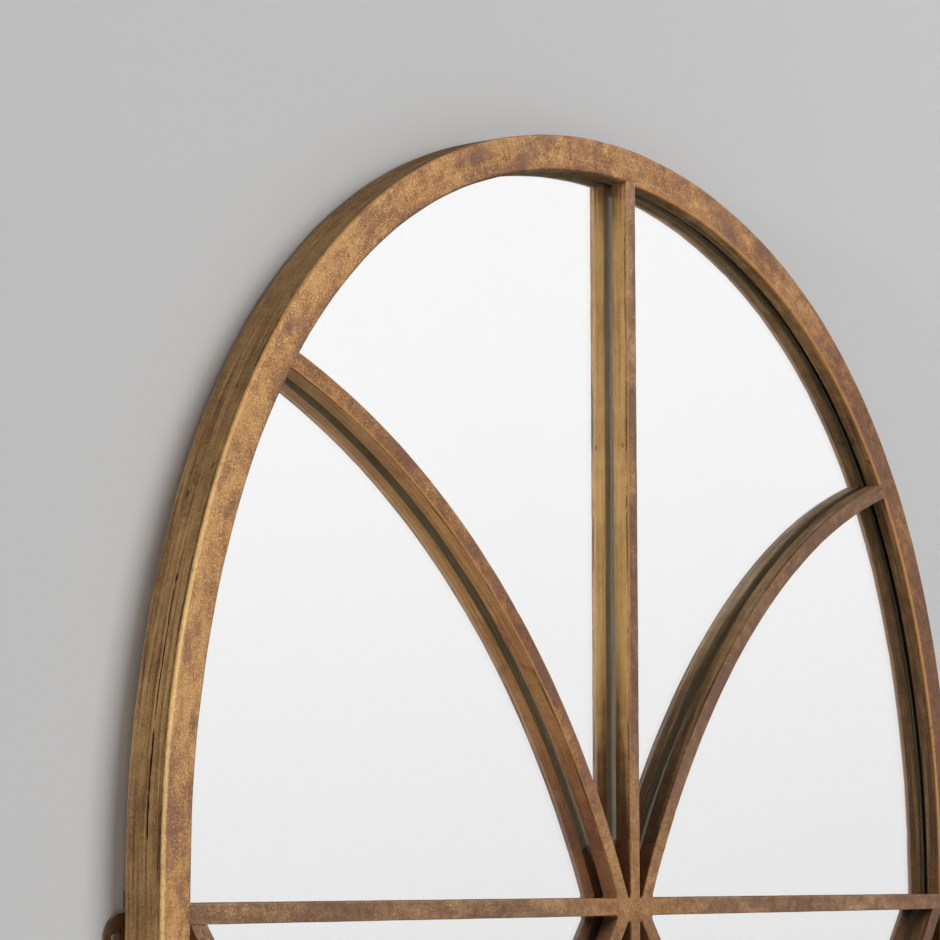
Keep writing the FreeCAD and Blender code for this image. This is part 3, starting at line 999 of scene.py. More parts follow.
@dataclass(frozen=True)
class Patina:
    """How far a piece's face, sides and back have browned, with painted shade in places, and how far its
    edges are rubbed, with painted highlights.

    Each fade is a change per metre along the piece, from where its run is 0, and the lean one across
    its face. The rubs are given at runs. Beside a hub, between the two near runs, painted shade darkens
    the sides and glow brightens the face. The surface is calm, with little cloud and grain, from one run
    towards another.
    """

    face: float = 0.0
    side: float = 0.0
    back: float = 0.0
    rubs_and_highlights: Sequence[Point] = ((0.0, 1.0),)
    face_fade: float = 0.0
    side_fade: float = 0.0
    fade_end: float = 0.8
    lean: float = 0.0
    painted_hub_shade: float = 0.0
    glow: float = 0.0
    near_start: float = 0.015
    near_end: float = 0.11
    calm: float = 0.0
    calm_face: float = 0.0
    calm_from: float = 0.07
    calm_full: float = 0.0

    def browned_and_shaded(self, run: Array, section: Section) -> Array:
        """Find the browning and painted shade of each point of a sweep.

        Args:
            run: The points' distances along it.
            section: Its section, with a zone for each column.

        Returns:
            The browning and painted shade of each point.
        """
        # Painted shade: beside a hub the sides darken, as in the shade where the bars meet.
        tones = {
            Zone.FACE: (self.face, self.face_fade, -self.glow),
            Zone.SIDE: (self.side, self.side_fade, self.painted_hub_shade),
            Zone.BACK: (self.back, 0.0, 0.0),
            Zone.HIDDEN: (self.side, 0.0, self.painted_hub_shade),
        }
        own, fade, beside_hub = np.array([tones[zone] for zone in section.zone]).T
        near = np.clip((self.near_end - run) / (self.near_end - self.near_start), 0.0, 1.0)
        faded = np.clip(run, 0.0, self.fade_end) * fade + near * beside_hub
        is_face = np.array([zone == Zone.FACE for zone in section.zone])
        if not is_face.any():
            return own + faded
        return own + faded + self.lean * (section.offset - section.offset[is_face].mean()) * is_face

    def calmed(self, run: Array, section: Section) -> Array:
        """Return how calm each point of a sweep is, from 0 to 1."""
        most = np.array([self.calm_face if zone == Zone.FACE else self.calm for zone in section.zone])
        return most * np.clip((run - self.calm_from) / (self.calm_full - self.calm_from), 0.0, 1.0)

    def rubbed_and_lit(self, run: Array) -> Array:
        """Return how far an edge is rubbed, with its painted highlight, along a sweep, from 0 to 1."""
        return np.interp(run, *zip(*self.rubs_and_highlights))


def waved(run: Array, waves: Sequence[Triple]) -> Array:
    """Return the sum of waves along a run, each with its height, its rate and its start."""
    return sum(height * np.sin(run * rate + start) for height, rate, start in waves)


@dataclass(frozen=True)
class HandWork:
    """What handling and age do to a swept surface, in lengths along it.

    Each wave has a rate along the piece, one around it and a share of the piece's seed. Each crack
    noise has a strength, a scale beside the crack's own, a share of the seed and a row of the noise.
    """

    waver: float = 0.00010
    waves: Sequence[Triple] = ((61.0, 190.0, 1.0), (137.0, -83.0, 2.3))
    chip: float = 0.0012
    chip_scale: float = 70.0
    chip_around: float = 400.0
    chip_floor: float = 0.12
    worn_floor: float = 0.05
    crack_depth: float = 0.0007
    crack_scale: float = 26.0
    crack_share: float = 0.45
    crack_noises: Sequence[tuple[float, ...]] = ((1.5, 1.0, 1.7, 3.0), (0.9, 9.0, 1.0, 9.0))
    crack_sway: float = 0.0004
    sway_waves: Sequence[Triple] = ((1.0, 44.0, 1.0), (0.6, 171.0, 2.0))
    crack_spans: Sequence[Point] = ()
    crack_more: float = 0.9
    # How strongly an open crack is darkened with painted shade.
    crack_grime: float = 1.4

    def lift(self, run: Array, around: Array, worn: Array, seed: float) -> Array:
        """Find how far a surface stands out of true.

        Args:
            run: The distances along the piece.
            around: The distances around its section.
            worn: How far each point is on a worn edge that also carries a painted highlight.
            seed: The piece's own number.

        Returns:
            The distances outwards, negative where an edge is chipped.
        """
        waves = sum(np.sin(run * along + around * about + seed * share)
                    for along, about, share in self.waves)
        lift = self.waver * waves / len(self.waves)
        for row, column in zip(*np.nonzero(worn > self.worn_floor)):
            spot = (run[row, column] * self.chip_scale, around[row, column] * self.chip_around, seed)
            bite = max(0.0, noise.noise(Vector(spot)) - self.chip_floor)
            lift[row, column] -= self.chip * bite * worn[row, column]
        return lift

    def cracked(self, run: Array, seed: float) -> Array:
        """Find how far the crack beside an arris is open along a piece.

        Args:
            run: The distances along the piece.
            seed: The piece's own number.

        Returns:
            The shares to which it is open, from 0 to 1.
        """
        opened = np.full(run.shape, self.crack_share)
        for start, end in self.crack_spans:
            opened += self.crack_more * ((run > start) & (run < end))
        for strength, scale, share, row in self.crack_noises:
            spots = [Vector((place * self.crack_scale * scale, seed * share, row)) for place in run]
            opened += strength * np.array([noise.noise(spot) for spot in spots])
        return np.clip(opened, 0.0, 1.0)

    def sway(self, run: Array, seed: float) -> Array:
        """Return how far the crack strays in depth along a piece."""
        waves = [(height, rate, share * seed) for height, rate, share in self.sway_waves]
        return self.crack_sway * waved(run, waves)


@dataclass(frozen=True)
class SeamSlit:
    """The slit between the frame's layers, open in stretches along the outline.

    Each stretch has a start, an end and a share of the full width. The edge is ragged: an even share,
    a beat of two waves, and nicks.
    """

    stretches: Sequence[Triple] = (
        (-1.18, -0.86, 1.0), (-0.80, -0.55, 0.9), (-0.50, -0.18, 1.0), (0.007, 0.069, 1.25),
        (0.0745, 0.153, 0.95), (0.1555, 0.1615, 1.3), (0.169, 0.175, 0.9))
    least: float = 0.00003
    most: float = 0.00062
    taper: float = 0.003
    depth: float = 0.0028
    even: float = 0.66
    beat: Sequence[Triple] = ((0.2, 210.0, 0.0), (1.0, 83.0, 1.3))
    nicks: Sequence[Triple] = ((0.14, 517.0, 0.6),)
    stray: float = 0.0005
    stray_waves: Sequence[Triple] = ((0.5, 38.0, 0.8), (0.3, 97.0, 0.0), (0.2, 263.0, 2.0))

    def width(self, run: Array) -> Array:
        """Find half the slit's width along the outline.

        Args:
            run: The distances along the outline.

        Returns:
            The half widths.
        """
        opened = np.zeros(run.shape)
        for start, end, share in self.stretches:
            rise = np.clip((run - start) / self.taper, 0, 1) * np.clip((end - run) / self.taper, 0, 1)
            opened = np.maximum(opened, rise * share)
        beat = waved(run, self.beat[:1]) * waved(run, self.beat[1:])
        ragged = self.even + beat + waved(run, self.nicks)
        return self.least + (self.most - self.least) * opened * ragged

    def sway(self, run: Array) -> Array:
        """Return how far the slit strays from the seam in depth along the outline."""
        return self.stray * waved(run, self.stray_waves)


class MeshDraft:
    """A piece in the making: swept lengths that become one mesh."""

    seeds: int = 97

    def __init__(self, name: str, patina: Patina, timber: str = "") -> None:
        """Start an empty piece.

        Args:
            name: Its name.
            patina: How it has aged.
            timber: A name that pieces with the same run of grain share.
        """
        self.name = name
        self.patina = patina
        letters = enumerate(timber or name)
        self.seed = float(sum(ord(letter) * (place + 1) for place, letter in letters) % self.seeds)
        self.points: list[Array] = []
        self.carried: dict[str, list[Array]] = {value: [] for value in CARRIED}
        self.faces: list[list[int]] = []
        self.zones: list[int] = []
        self.marks: list[Point] = []
        self.count = 0

    def sweep(self, path: Path, section: Section, starts: Array, ends: Array, work: HandWork,
              slit: Optional[SeamSlit] = None, step: float = 0.004) -> None:
        """Sweep a section along a path.

        Args:
            path: The line that it follows.
            section: The section.
            starts: The run at which each column starts.
            ends: The run at which each column ends.
            work: How far its surface is out of true.
            slit: The slit that its slit corners open to.
            step: The distance between its rows.
        """
        columns = len(section.offset)
        starts = np.broadcast_to(np.asarray(starts, float), (columns,))
        ends = np.broadcast_to(np.asarray(ends, float), (columns,))
        rows = max(2, int(np.abs(ends - starts).max() / step) + 1)
        run = starts + (ends - starts) * np.linspace(0.0, 1.0, rows)[:, None]
        around = np.broadcast_to(section.around[:-1], run.shape)
        worn = np.broadcast_to(section.worn, run.shape)
        out_offset, out_depth = self._outward(section)
        opened = work.cracked(run.mean(axis=1), self.seed)[:, None] * np.abs(section.crack)
        lift = work.lift(run, around, worn, self.seed) - work.crack_depth * opened
        x, z = path.place(run, section.offset + out_offset * lift)
        y = section.depth + out_depth * lift + (section.crack != 0) * work.sway(run, self.seed)
        if slit is not None:
            y = y + section.slit * slit.width(run) + np.abs(section.slit) * slit.sway(run)
        values = (worn * self.patina.rubbed_and_lit(run),
                  np.clip(opened * work.crack_grime + section.grime, 0.0, 1.0),
                  self.patina.browned_and_shaded(run, section), self.patina.calmed(run, section))
        for name, value in zip(CARRIED, values):
            self.carried[name].append(value.reshape(-1))
        self._skin(np.stack([x, np.broadcast_to(y, x.shape), z], axis=-1), run + self.seed, section)

    @staticmethod
    def _outward(section: Section) -> tuple[Array, Array]:
        """Find each column's outward direction.

        Args:
            section: The section.

        Returns:
            The directions across and in depth, and none where a column is hidden.
        """
        along_offset = np.roll(section.offset, -1) - np.roll(section.offset, 1)
        along_depth = np.roll(section.depth, -1) - np.roll(section.depth, 1)
        length = np.maximum(np.hypot(along_offset, along_depth), TINY)
        turning = section.offset * np.roll(section.depth, -1) - np.roll(section.offset, -1) * section.depth
        sign = np.sign(np.sum(turning))
        shown = np.array([zone in (Zone.FACE, Zone.SIDE) for zone in section.zone], float)
        shown *= np.roll(shown, 1)
        return sign * along_depth / length * shown, -sign * along_offset / length * shown

    def _skin(self, grid: Array, run: Array, section: Section) -> None:
        """Add the faces over a grid of points, and close its two ends.

        Args:
            grid: The points, row by row.
            run: Their distances along the piece.
            section: The section that was swept.
        """
        rows, columns = grid.shape[:2]
        base = self.count
        self.points.append(grid.reshape(-1, 3))
        self.count += rows * columns
        for row in range(rows - 1):
            for column in range(columns):
                beside = (column + 1) % columns
                low, high = base + row * columns, base + (row + 1) * columns
                self.faces.append([low + column, low + beside, high + beside, high + column])
                self.zones.append(int(section.zone[column]))
                near, far = section.around[column], section.around[column + 1]
                self.marks += [(run[row, column], near), (run[row, beside], far),
                               (run[row + 1, beside], far), (run[row + 1, column], near)]
        for row, order in ((0, range(columns - 1, -1, -1)), (rows - 1, range(columns))):
            self.faces.append([base + row * columns + column for column in order])
            self.zones.append(int(Zone.HIDDEN))
            self.marks += [(run[row, column], section.around[column]) for column in order]

    def finished(self, finishes: Sequence[Finish], slot: str, *nodes: str) -> None:
        """Make the piece's object and set it on the mirror.

        Args:
            finishes: The finish of each zone, in order.
            slot: The record's material slot.
            *nodes: The nodes that it stands for.
        """
        mesh = bpy.data.meshes.new(self.name)
        mesh.from_pydata(np.concatenate(self.points).tolist(), [], self.faces)
        marks = mesh.uv_layers.new(name="Run")
        marks.data.foreach_set("uv", np.array(self.marks, np.float32).ravel())
        for name, values in self.carried.items():
            carried = mesh.attributes.new(name, "FLOAT", "POINT")
            carried.data.foreach_set("value", np.concatenate(values).astype(np.float32))
        for finish in finishes:
            mesh.materials.append(finish.material())
        mesh.polygons.foreach_set("material_index", self.zones)
        placed(mesh, slot, *nodes)


def placed(mesh: bpy.types.Mesh, slot: str, *nodes: str) -> None:
    """Turn a mesh outwards, smooth it and set it on the mirror.

    Args:
        mesh: The piece's mesh.
        slot: The record's material slot; not used.
        *nodes: The nodes that it stands for.
    """
    skin = bmesh.new()
    skin.from_mesh(mesh)
    bmesh.ops.recalc_face_normals(skin, faces=skin.faces)
    skin.to_mesh(mesh)
    skin.free()
    mesh.polygons.foreach_set("use_smooth", [True] * len(mesh.polygons))
    mesh.set_sharp_from_angle(angle=SHARP_EDGE)
    piece = bpy.data.objects.new(mesh.name, mesh)
    bpy.context.scene.collection.objects.link(piece)
    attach(piece, "root")
    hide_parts(*nodes)
    LOG.info("%s: %d faces", piece.name, len(mesh.polygons))


def skinned(skin: Skin, name: str, finishes: Sequence[Finish], slot: str, node: str) -> None:
    """Turn a hand-built skin into a piece.

    Args:
        skin: The skin, which is used up.
        name: The piece's name.
        finishes: Its finishes.
        slot: The record's material slot.
        node: The node that it stands for.
    """
    mesh = bpy.data.meshes.new(name)
    skin.to_mesh(mesh)
    skin.free()
    for finish in finishes:
        mesh.materials.append(finish.material())
    placed(mesh, slot, node)


def node_skin(node: str) -> Skin:
    """Copy a node's own skin.

    Args:
        node: The node's name.

    Returns:
        The skin, with its points joined.
    """
    skin = bmesh.new()
    skin.from_mesh(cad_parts[node].data)
    bmesh.ops.remove_doubles(skin, verts=skin.verts, dist=WELD)
    return skin


def dress_node(node: str, finish: Finish) -> None:
    """Give a carried-over node its finish.

    Args:
        node: The node's name.
        finish: Its finish.
    """
    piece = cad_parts[node]
    piece.data.materials.clear()
    piece.data.materials.append(finish.material())
    LOG.info("%s: carried over in %s", node, finish.name)


@dataclass
class FrameLayer(ABC):
    """One of the frame's two laminated layers, swept along the outline."""

    levels: Levels
    outline: ArchOutline
    look: str
    timber: str
    slot: str
    finishes: Sequence[Finish]
    patinas: Pair[Patina]
    work: HandWork
    slit: SeamSlit = SeamSlit()

    @abstractmethod
    def build(self) -> None:
        """Build and dress the layer's pieces."""

    def _piece(self, node: str, path: Path, section: Section, starts: Array, ends: Array) -> None:
        """Build one piece of the layer.

        Args:
            node: The node that it stands for.
            path: The line that it follows.
            section: Its section.
            starts: The run at which each column starts.
            ends: The run at which each column ends.
        """
        draft = MeshDraft(self.look + node, self.patinas.on(path.side), self.timber)
        draft.sweep(path, section, starts, ends, self.work, self.slit)
        draft.finished(self.finishes, self.slot, node)


@dataclass
class FrontFrame(FrameLayer):
    """The front layer: two arch halves, two stiles and a mitred foot rail."""

    look: str = "gilded_"
    timber: str = "front"
    slot: str = "antique_gold_wood"
    finishes: Sequence[Finish] = (GILDED_FACE, GILDED_SIDE, GILDED_BACK_WITH_PAINTED_LIGHT, CREVICE_WOOD_IN_PAINTED_SHADE)
    outer_round: float = 0.002
    inner_round: float = 0.0022
    crack_inset: float = 0.0032
    crack_half: float = 0.0008
    # The right half's face is browned more than the left's: partly real tone, partly painted shade where
    # less light falls.
    patinas: Pair[Patina] = Pair(
        Patina(face=-0.02, side=0.06, face_fade=0.08, side_fade=0.10, lean=3.0,
               rubs_and_highlights=((0.0, 0.7), (0.10, 1.0), (0.22, 1.0), (0.36, 0.25), (0.8, 0.1)),
               calm=0.6, calm_from=0.20, calm_full=0.40),
        Patina(face=0.14, side=0.08, face_fade=-0.12))
    # Painted highlight: the left half's outer edge is bright and the right half's dim, as the light falls on
    # them.
    outer_wear_and_highlight: Pair[float] = Pair(1.0, 0.2)
    inner_wear_and_highlight: Pair[float] = Pair(0.0, 0.9)
    # Painted shade: a dark line along the left half's inner edge.
    inner_grime: Pair[float] = Pair(0.6, 0.0)
    work: HandWork = HandWork(
        crack_share=0.0, crack_spans=((0.128, 0.150), (0.154, 0.173), (0.176, 0.204), (0.30, 0.34)))

    def section(self, side: Side) -> Section:
        """Draw one side's section from its outer to its inner edge and back.

        Args:
            side: The side.

        Returns:
            The section.
        """
        at = self.levels
        crack = at.front + self.crack_inset
        return Section([
            Corner(0.0, at.front, Zone.FACE, self.outer_round, self.outer_wear_and_highlight.on(side)),
            Corner(at.face, at.front, Zone.SIDE, self.inner_round, self.inner_wear_and_highlight.on(side),
                   grime=self.inner_grime.on(side)),
            Corner(at.face, at.seam, Zone.BACK),
            Corner(at.rim, at.seam, Zone.HIDDEN),
            Corner(self.slit.depth, at.seam, Zone.HIDDEN),
            Corner(self.slit.depth, at.seam, Zone.HIDDEN, slit=-1.0),
            Corner(0.0, at.seam, Zone.SIDE, slit=-1.0),
            Corner(0.0, crack + self.crack_half, Zone.SIDE),
            Corner(0.0, crack, Zone.SIDE, crack=1.0),
            Corner(0.0, crack - self.crack_half, Zone.SIDE),
        ])

    def build(self) -> None:
        """Build and dress the five pieces."""
        at = self.levels
        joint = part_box("front_stile_right")[1].z - at.springing
        for side in Side:
            section = self.section(side)
            path = OutlinePath(self.outline, side)
            mitre = at.foot + section.offset - at.springing
            self._piece("front_arch_" + side.word, path, section, joint, self.outline.crown)
            self._piece("front_stile_" + side.word, path, section, mitre, joint)
        reach = at.half_width - section.offset
        self._piece("front_bottom_rail", FootPath(at.foot), section, -reach, reach)


@dataclass
class BackFrame(FrameLayer):
    """The back layer: a three-part arch, two stiles and a foot rail, rebated for the panel."""

    look: str = "stained_"
    timber: str = "back"
    slot: str = "aged_brown_wood"
    finishes: Sequence[Finish] = (GILDED_SIDE, GILDED_SIDE, STAINED_BACK, CREVICE_WOOD_IN_PAINTED_SHADE)
    patinas: Pair[Patina] = Pair.same(
        Patina(face=0.06, side=0.06, side_fade=0.10, calm=0.6, calm_from=0.20, calm_full=0.40))
    work: HandWork = HandWork()
    back_round: float = 0.0008
    back_rub: float = 0.4
    crown_joint: float = math.radians(52.0)

    def section(self) -> Section:
        """Draw the layer's section from the seam round the rebate to the back.

        Returns:
            The section.
        """
        at = self.levels
        return Section([
            Corner(0.0, at.seam, Zone.HIDDEN, slit=1.0),
            Corner(self.slit.depth, at.seam, Zone.HIDDEN, slit=1.0),
            Corner(self.slit.depth, at.seam, Zone.HIDDEN),
            Corner(at.rim, at.seam, Zone.HIDDEN),
            Corner(at.rim, at.panel, Zone.HIDDEN),
            Corner(at.ledge, at.panel, Zone.HIDDEN),
            Corner(at.ledge, at.back, Zone.BACK),
            Corner(0.0, at.back, Zone.SIDE, self.back_round, self.back_rub),
        ])

    def build(self) -> None:
        """Build and dress the six pieces."""
        at = self.levels
        section = self.section()
        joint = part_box("back_stile_right")[1].z - at.springing
        foot = at.foot - at.springing
        right = OutlinePath(self.outline)
        crown = self.outline.crown
        shoulder = right.trimmed(section.offset, 0.0, crown, self._below_joint)
        for side in Side:
            path = OutlinePath(self.outline, side)
            self._piece("back_arch_" + side.word, path, section, joint, shoulder)
            self._piece("back_stile_" + side.word, path, section, foot, joint)
        self._piece("back_arch_crown", right, section, shoulder, 2 * crown - shoulder)
        reach = at.half_width - at.rim
        self._piece("back_bottom_rail", FootPath(at.foot), section, -reach, reach)

    def _below_joint(self, x: Array, z: Array) -> Array:
        """Return how far points lie below the crown's joint, as an angle."""
        return self.crown_joint - np.arctan2(z - self.levels.springing, x)


def facing(face: bmesh.types.BMFace) -> float:
    """Return how far a face looks to the back of the mirror."""
    return face.normal.y


@dataclass
class Tracery:
    """The hubs and bars that stand just off the glass."""

    levels: Levels
    outline: ArchOutline
    ease: float = 0.001
    ease_steps: int = 3
    bar_step: float = 0.0015
    bar_guard: float = 0.0007
    # The edge amounts below are real wear and painted highlight; the back edges carry a painted bright line.
    edge_rub: float = 0.9
    back_rub: float = 0.5
    crack_inset: float = 0.0018
    crack_half: float = 0.0007
    let_in: float = 0.0020
    spill_bars: float = 4.0
    arc_foot: float = 0.0128
    arc_lean: float = math.radians(24.8)
    arc_landing: float = math.radians(37.5)
    lattice_foot: float = 0.0085
    lattice_margin: float = 0.0022
    hub_grid: float = 0.002
    hub_flat: float = math.radians(1)
    hub_drop: float = math.radians(52.0)
    hub_rub: float = 0.15
    flat_front: float = -0.95
    eased_front: float = -0.3
    hub_patina: Patina = Patina(face=-0.02, side=0.17, calm=0.8)
    spine_patina: Patina = Patina(
        face=0.25, side=-0.12, rubs_and_highlights=((0.0, 0.1), (0.10, 0.5), (0.16, 1.0), (0.5, 0.4)), face_fade=-0.47,
        side_fade=0.16, painted_hub_shade=0.29, glow=0.20, calm=0.8, calm_face=0.8)
    rail_patinas: Pair[Patina] = Pair(
        Patina(face=0.11, side=0.14, rubs_and_highlights=((0.0, 0.15),), glow=0.08, calm=0.8, calm_face=0.8),
        Patina(face=0.01, side=0.14, rubs_and_highlights=((0.0, 0.15),), calm=0.8, calm_face=0.8))
    lattice_patina: Patina = Patina(
        face=0.14, side=0.17, rubs_and_highlights=((0.0, 0.15),), glow=0.08, near_start=0.06, near_end=0.15, calm=0.8,
        calm_face=0.8, calm_from=0.116, calm_full=0.046)
    curve_patinas: Pair[Patina] = Pair(
        Patina(face=0.11, side=-0.06, back=0.15, rubs_and_highlights=((0.0, 0.15), (0.10, 0.3), (0.22, 1.0)), painted_hub_shade=0.23,
               glow=0.10, near_start=0.06, near_end=0.18, calm=0.8, calm_face=0.8, calm_from=0.116,
               calm_full=0.046),
        Patina(face=0.12, side=0.03, back=0.25, rubs_and_highlights=((0.0, 0.1),), painted_hub_shade=0.14, glow=0.08,
               near_start=0.06, near_end=0.18, calm=0.8, calm_face=0.8, calm_from=0.116, calm_full=0.046))
    curve_faces: Pair[Finish] = Pair(GILDED_FACE, TRACERY_FACE)
    curve_sides: Pair[Finish] = Pair(RUDDY_BAR, KHAKI_BAR)
    work: HandWork = HandWork(waver=0.00006, chip=0.0005)
    curve_works: Pair[HandWork] = Pair(
        HandWork(waver=0.00006, chip=0.0005), HandWork(waver=0.00006, chip=0.0005, crack_share=0.9))

    def __post_init__(self) -> None:
        """Read the bars' sizes from the frame."""
        boxes = [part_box(node) for node in ("transom_1_right", "transom_2_right")]
        low, high = boxes[0]
        self.half_bar: float = (high.z - low.z) / 2
        self.reach: float = low.x
        self.opening: float = high.x
        self.spill: float = self.spill_bars * self.half_bar
        self.foot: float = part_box("front_bottom_rail")[1].z
        self.heights: list[float] = [(low.z + high.z) / 2 for low, high in boxes]
        self.middle: float = (self.levels.front + self.levels.seam) / 2
        self.full: Section = self._section(self.levels.front, self.levels.seam)

    def _section(self, front: float, back: float) -> Section:
        """Draw a bar's section between two depths, eased where it shows at the front.

        Args:
            front: The depth of its front.
            back: The depth of its back.

        Returns:
            The section.
        """
        half = self.half_bar
        corners = [Corner(half, back, Zone.BACK, worn=self.back_rub),
                   Corner(-half, back, Zone.SIDE, worn=self.back_rub)]
        if front > self.levels.front:
            corners = [Corner(-half, front, Zone.FACE), Corner(half, front, Zone.SIDE)] + corners
            return Section(corners, self.bar_step, self.bar_guard)
        crack = front + self.crack_inset
        right = [Corner(half, crack - self.crack_half, Zone.SIDE),
                 Corner(half, crack, Zone.SIDE, crack=1.0),
                 Corner(half, crack + self.crack_half, Zone.SIDE)]
        left = [Corner(-half, corner.depth, Zone.SIDE, crack=corner.crack) for corner in reversed(right)]
        eased = [Corner(-half, front, Zone.FACE, self.ease, self.edge_rub),
                 Corner(half, front, Zone.SIDE, self.ease, self.edge_rub)]
        return Section(eased + right + corners + left, self.bar_step, self.bar_guard, self.ease_steps)

    def build(self) -> None:
        """Build and dress every bar and hub."""
        self._centre_bars()
        for bay in range(len(self.heights)):
            self._hub("hub_%d" % (bay + 1))
            for side in Side:
                self._transom(bay, side)
                self._lattice(bay, side)
        for side in Side:
            self._curved_bar(side)

    @staticmethod
    def _finish(draft: MeshDraft, node: str, side: Finish = GILDED_BAR, face: Finish = TRACERY_FACE) -> None:
        """Dress a bar, with its own finishes on its sides and face."""
        draft.finished((face, side, GILDED_BACK_WITH_PAINTED_LIGHT, side), "antique_gold_wood", node)

    def _in_opening(self, x: Array, z: Array) -> Array:
        """Return how far points lie inside the frame's opening and the rounding of its edge."""
        return self.outline.clearance(x, z, self.levels.face - self.let_in)

    def _clear_of(self, bar: StraightPath, x: Array, z: Array) -> Array:
        """Return how far points lie outside a bar's width."""
        return bar.distance(x, z) - self.half_bar

    def _centre_bars(self) -> None:
        """Build the lengths of the centre bar between the crown, the hubs and the foot."""
        crown = self.levels.springing + self.levels.half_width
        tops = [crown] + [height - self.reach for height in self.heights]
        feet = [height + self.reach for height in self.heights] + [self.foot - self.let_in]
        for index, (top, foot) in enumerate(zip(tops, feet)):
            node = "centre_bar_%d" % (index + 1)
            path = StraightPath((0.0, foot), (0.0, top))
            ends = path.length
            if index == 0:
                ends = path.trimmed(self.full.offset, 0.0, path.length, self._in_opening)
            draft = MeshDraft("gilded_" + node, self.spine_patina)
            draft.sweep(path, self.full, 0.0, ends, self.work)
            self._finish(draft, node)

    def _transom(self, bay: int, side: Side) -> None:
        """Build one half of a transom.

        Args:
            bay: The bay below it.
            side: The half.
        """
        node = "transom_%d_%s" % (bay + 1, side.word)
        height = self.heights[bay]
        path = StraightPath((self.reach, height), (self.opening + self.let_in, height), side)
        draft = MeshDraft("gilded_" + node, self.rail_patinas.on(side))
        draft.sweep(path, self.full, 0.0, path.length, self.work)
        self._finish(draft, node)

    def _lattice(self, bay: int, side: Side) -> None:
        """Build the two halved bars of one half of a bay.

        Args:
            bay: The bay, from the top.
            side: The half.
        """
        top = self.heights[bay]
        is_last = bay == len(self.heights) - 1
        low = self.foot if is_last else self.heights[bay + 1]
        floor = low - self.let_in if is_last else low + self.half_bar
        window = BayWindow(side, self.half_bar, self.opening + self.let_in, floor, top - self.half_bar)
        near, far = self.lattice_foot, self.opening - self.lattice_margin
        outward = StraightPath((near, top), (far, low), side)
        inward = StraightPath((near, low), (far, top), side)
        front_half = self._section(self.levels.front, self.middle)
        back_half = self._section(self.middle, self.levels.seam)
        for word, path, other, half in (("outward", outward, inward, front_half),
                                        ("inward", inward, outward, back_half)):
            node = "lattice_%d_%s_%s" % (bay + 1, word, side.word)
            draft = MeshDraft("gilded_" + node, self.lattice_patina)
            start, end = self._bar_ends(path, window, is_last and path is inward)
            meets, leaves = self._crossing(path, other, self.full)
            draft.sweep(path, self.full, start, meets, self.work)
            draft.sweep(path, self.full, leaves, end, self.work)
            draft.sweep(path, half, *self._crossing(path, other, half), self.work)
            self._finish(draft, node)

    def _bar_ends(self, path: StraightPath, window: BayWindow, on_foot: bool) -> tuple[Array, Array]:
        """Find where a lattice bar starts and ends.

        Args:
            path: Its centre line.
            window: The half bay that it lies in.
            on_foot: Whether it starts on the foot rail, and not at a hub.

        Returns:
            The runs at which each column starts and ends.
        """
        offset, quarter = self.full.offset, path.length / 4
        start = np.full(offset.shape, self.reach)
        if on_foot:
            start = path.trimmed(offset, quarter, -self.spill, window.inside)
        return start, path.trimmed(offset, 3 * quarter, path.length + self.spill, window.inside)

    def _crossing(self, path: StraightPath, other: StraightPath, section: Section) -> tuple[Array, Array]:
        """Find where a lattice bar is halved into another.

        Args:
            path: Its centre line.
            other: The other's centre line.
            section: The section that is halved.

        Returns:
            The runs at which each column meets the other bar and leaves it.
        """
        cross, clear = path.length / 2, partial(self._clear_of, other)
        meets = path.trimmed(section.offset, cross - self.spill, cross, clear)
        return meets, path.trimmed(section.offset, cross + self.spill, cross, clear)

    def _curved_bar(self, side: Side) -> None:
        """Build a bar that curves from the upper hub to the arch.

        Args:
            side: The half that it is in.
        """
        node = "curved_bar_" + side.word
        foot = Vector((self.arc_foot, self.heights[0]))
        landing = Vector(self.outline.reach(self.levels.face, self.arc_landing))
        inwards = Vector((math.cos(self.arc_lean), -math.sin(self.arc_lean)))
        chord = landing - foot
        radius = chord.length_squared / (2 * chord.dot(inwards))
        centre = foot + inwards * radius
        path = ArcPath((centre.x, centre.y), radius, math.pi - self.arc_lean, side)
        run = radius * (path.start - math.atan2(landing.y - centre.y, landing.x - centre.x))
        ends = path.trimmed(self.full.offset, run - self.spill, run + self.spill, self._in_opening)
        draft = MeshDraft("gilded_" + node, self.curve_patinas.on(side))
        draft.sweep(path, self.full, self.reach, ends, self.curve_works.on(side))
        self._finish(draft, node, self.curve_sides.on(side), self.curve_faces.on(side))

    def _hub(self, node: str) -> None:
        """Build a hub on its solid's outline, divided finely enough to carry its worn edges and their
        painted highlights.

        Args:
            node: The node that it stands for.
        """
        skin = node_skin(node)
        bmesh.ops.dissolve_limit(skin, angle_limit=self.hub_flat, verts=skin.verts, edges=skin.edges)
        low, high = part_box(node)
        for axis in (0, 2):
            for cut in np.arange(low[axis] + self.hub_grid / 2, high[axis], self.hub_grid):
                place, normal = Vector((0, 0, 0)), Vector((0, 0, 0))
                place[axis], normal[axis] = cut, 1.0
                everything = skin.verts[:] + skin.edges[:] + skin.faces[:]
                bmesh.ops.bisect_plane(skin, geom=everything, plane_co=place, plane_no=normal, dist=TINY)
        self._weather_hub(skin, Vector((0.0, 0.0, (low.z + high.z) / 2)))
        skinned(skin, "gilded_" + node, (TRACERY_FACE, RUDDY_BAR), "antique_gold_wood", node)

    def _arms(self) -> list[tuple[Vector, Patina]]:
        """List a hub's arms.

        Returns:
            Each arm's direction and the patina of the bar that it carries.
        """
        lean, drop = math.pi / 2 - self.arc_lean, self.hub_drop
        arms = [(Vector((0.0, 0.0, way)), self.spine_patina) for way in (1.0, -1.0)]
        for side in Side:
            for angle, patina in ((0.0, self.rail_patinas.on(side)), (-drop, self.lattice_patina),
                                  (lean, self.curve_patinas.on(side))):
                arms.append((Vector((side * math.cos(angle), 0.0, math.sin(angle))), patina))
        return arms

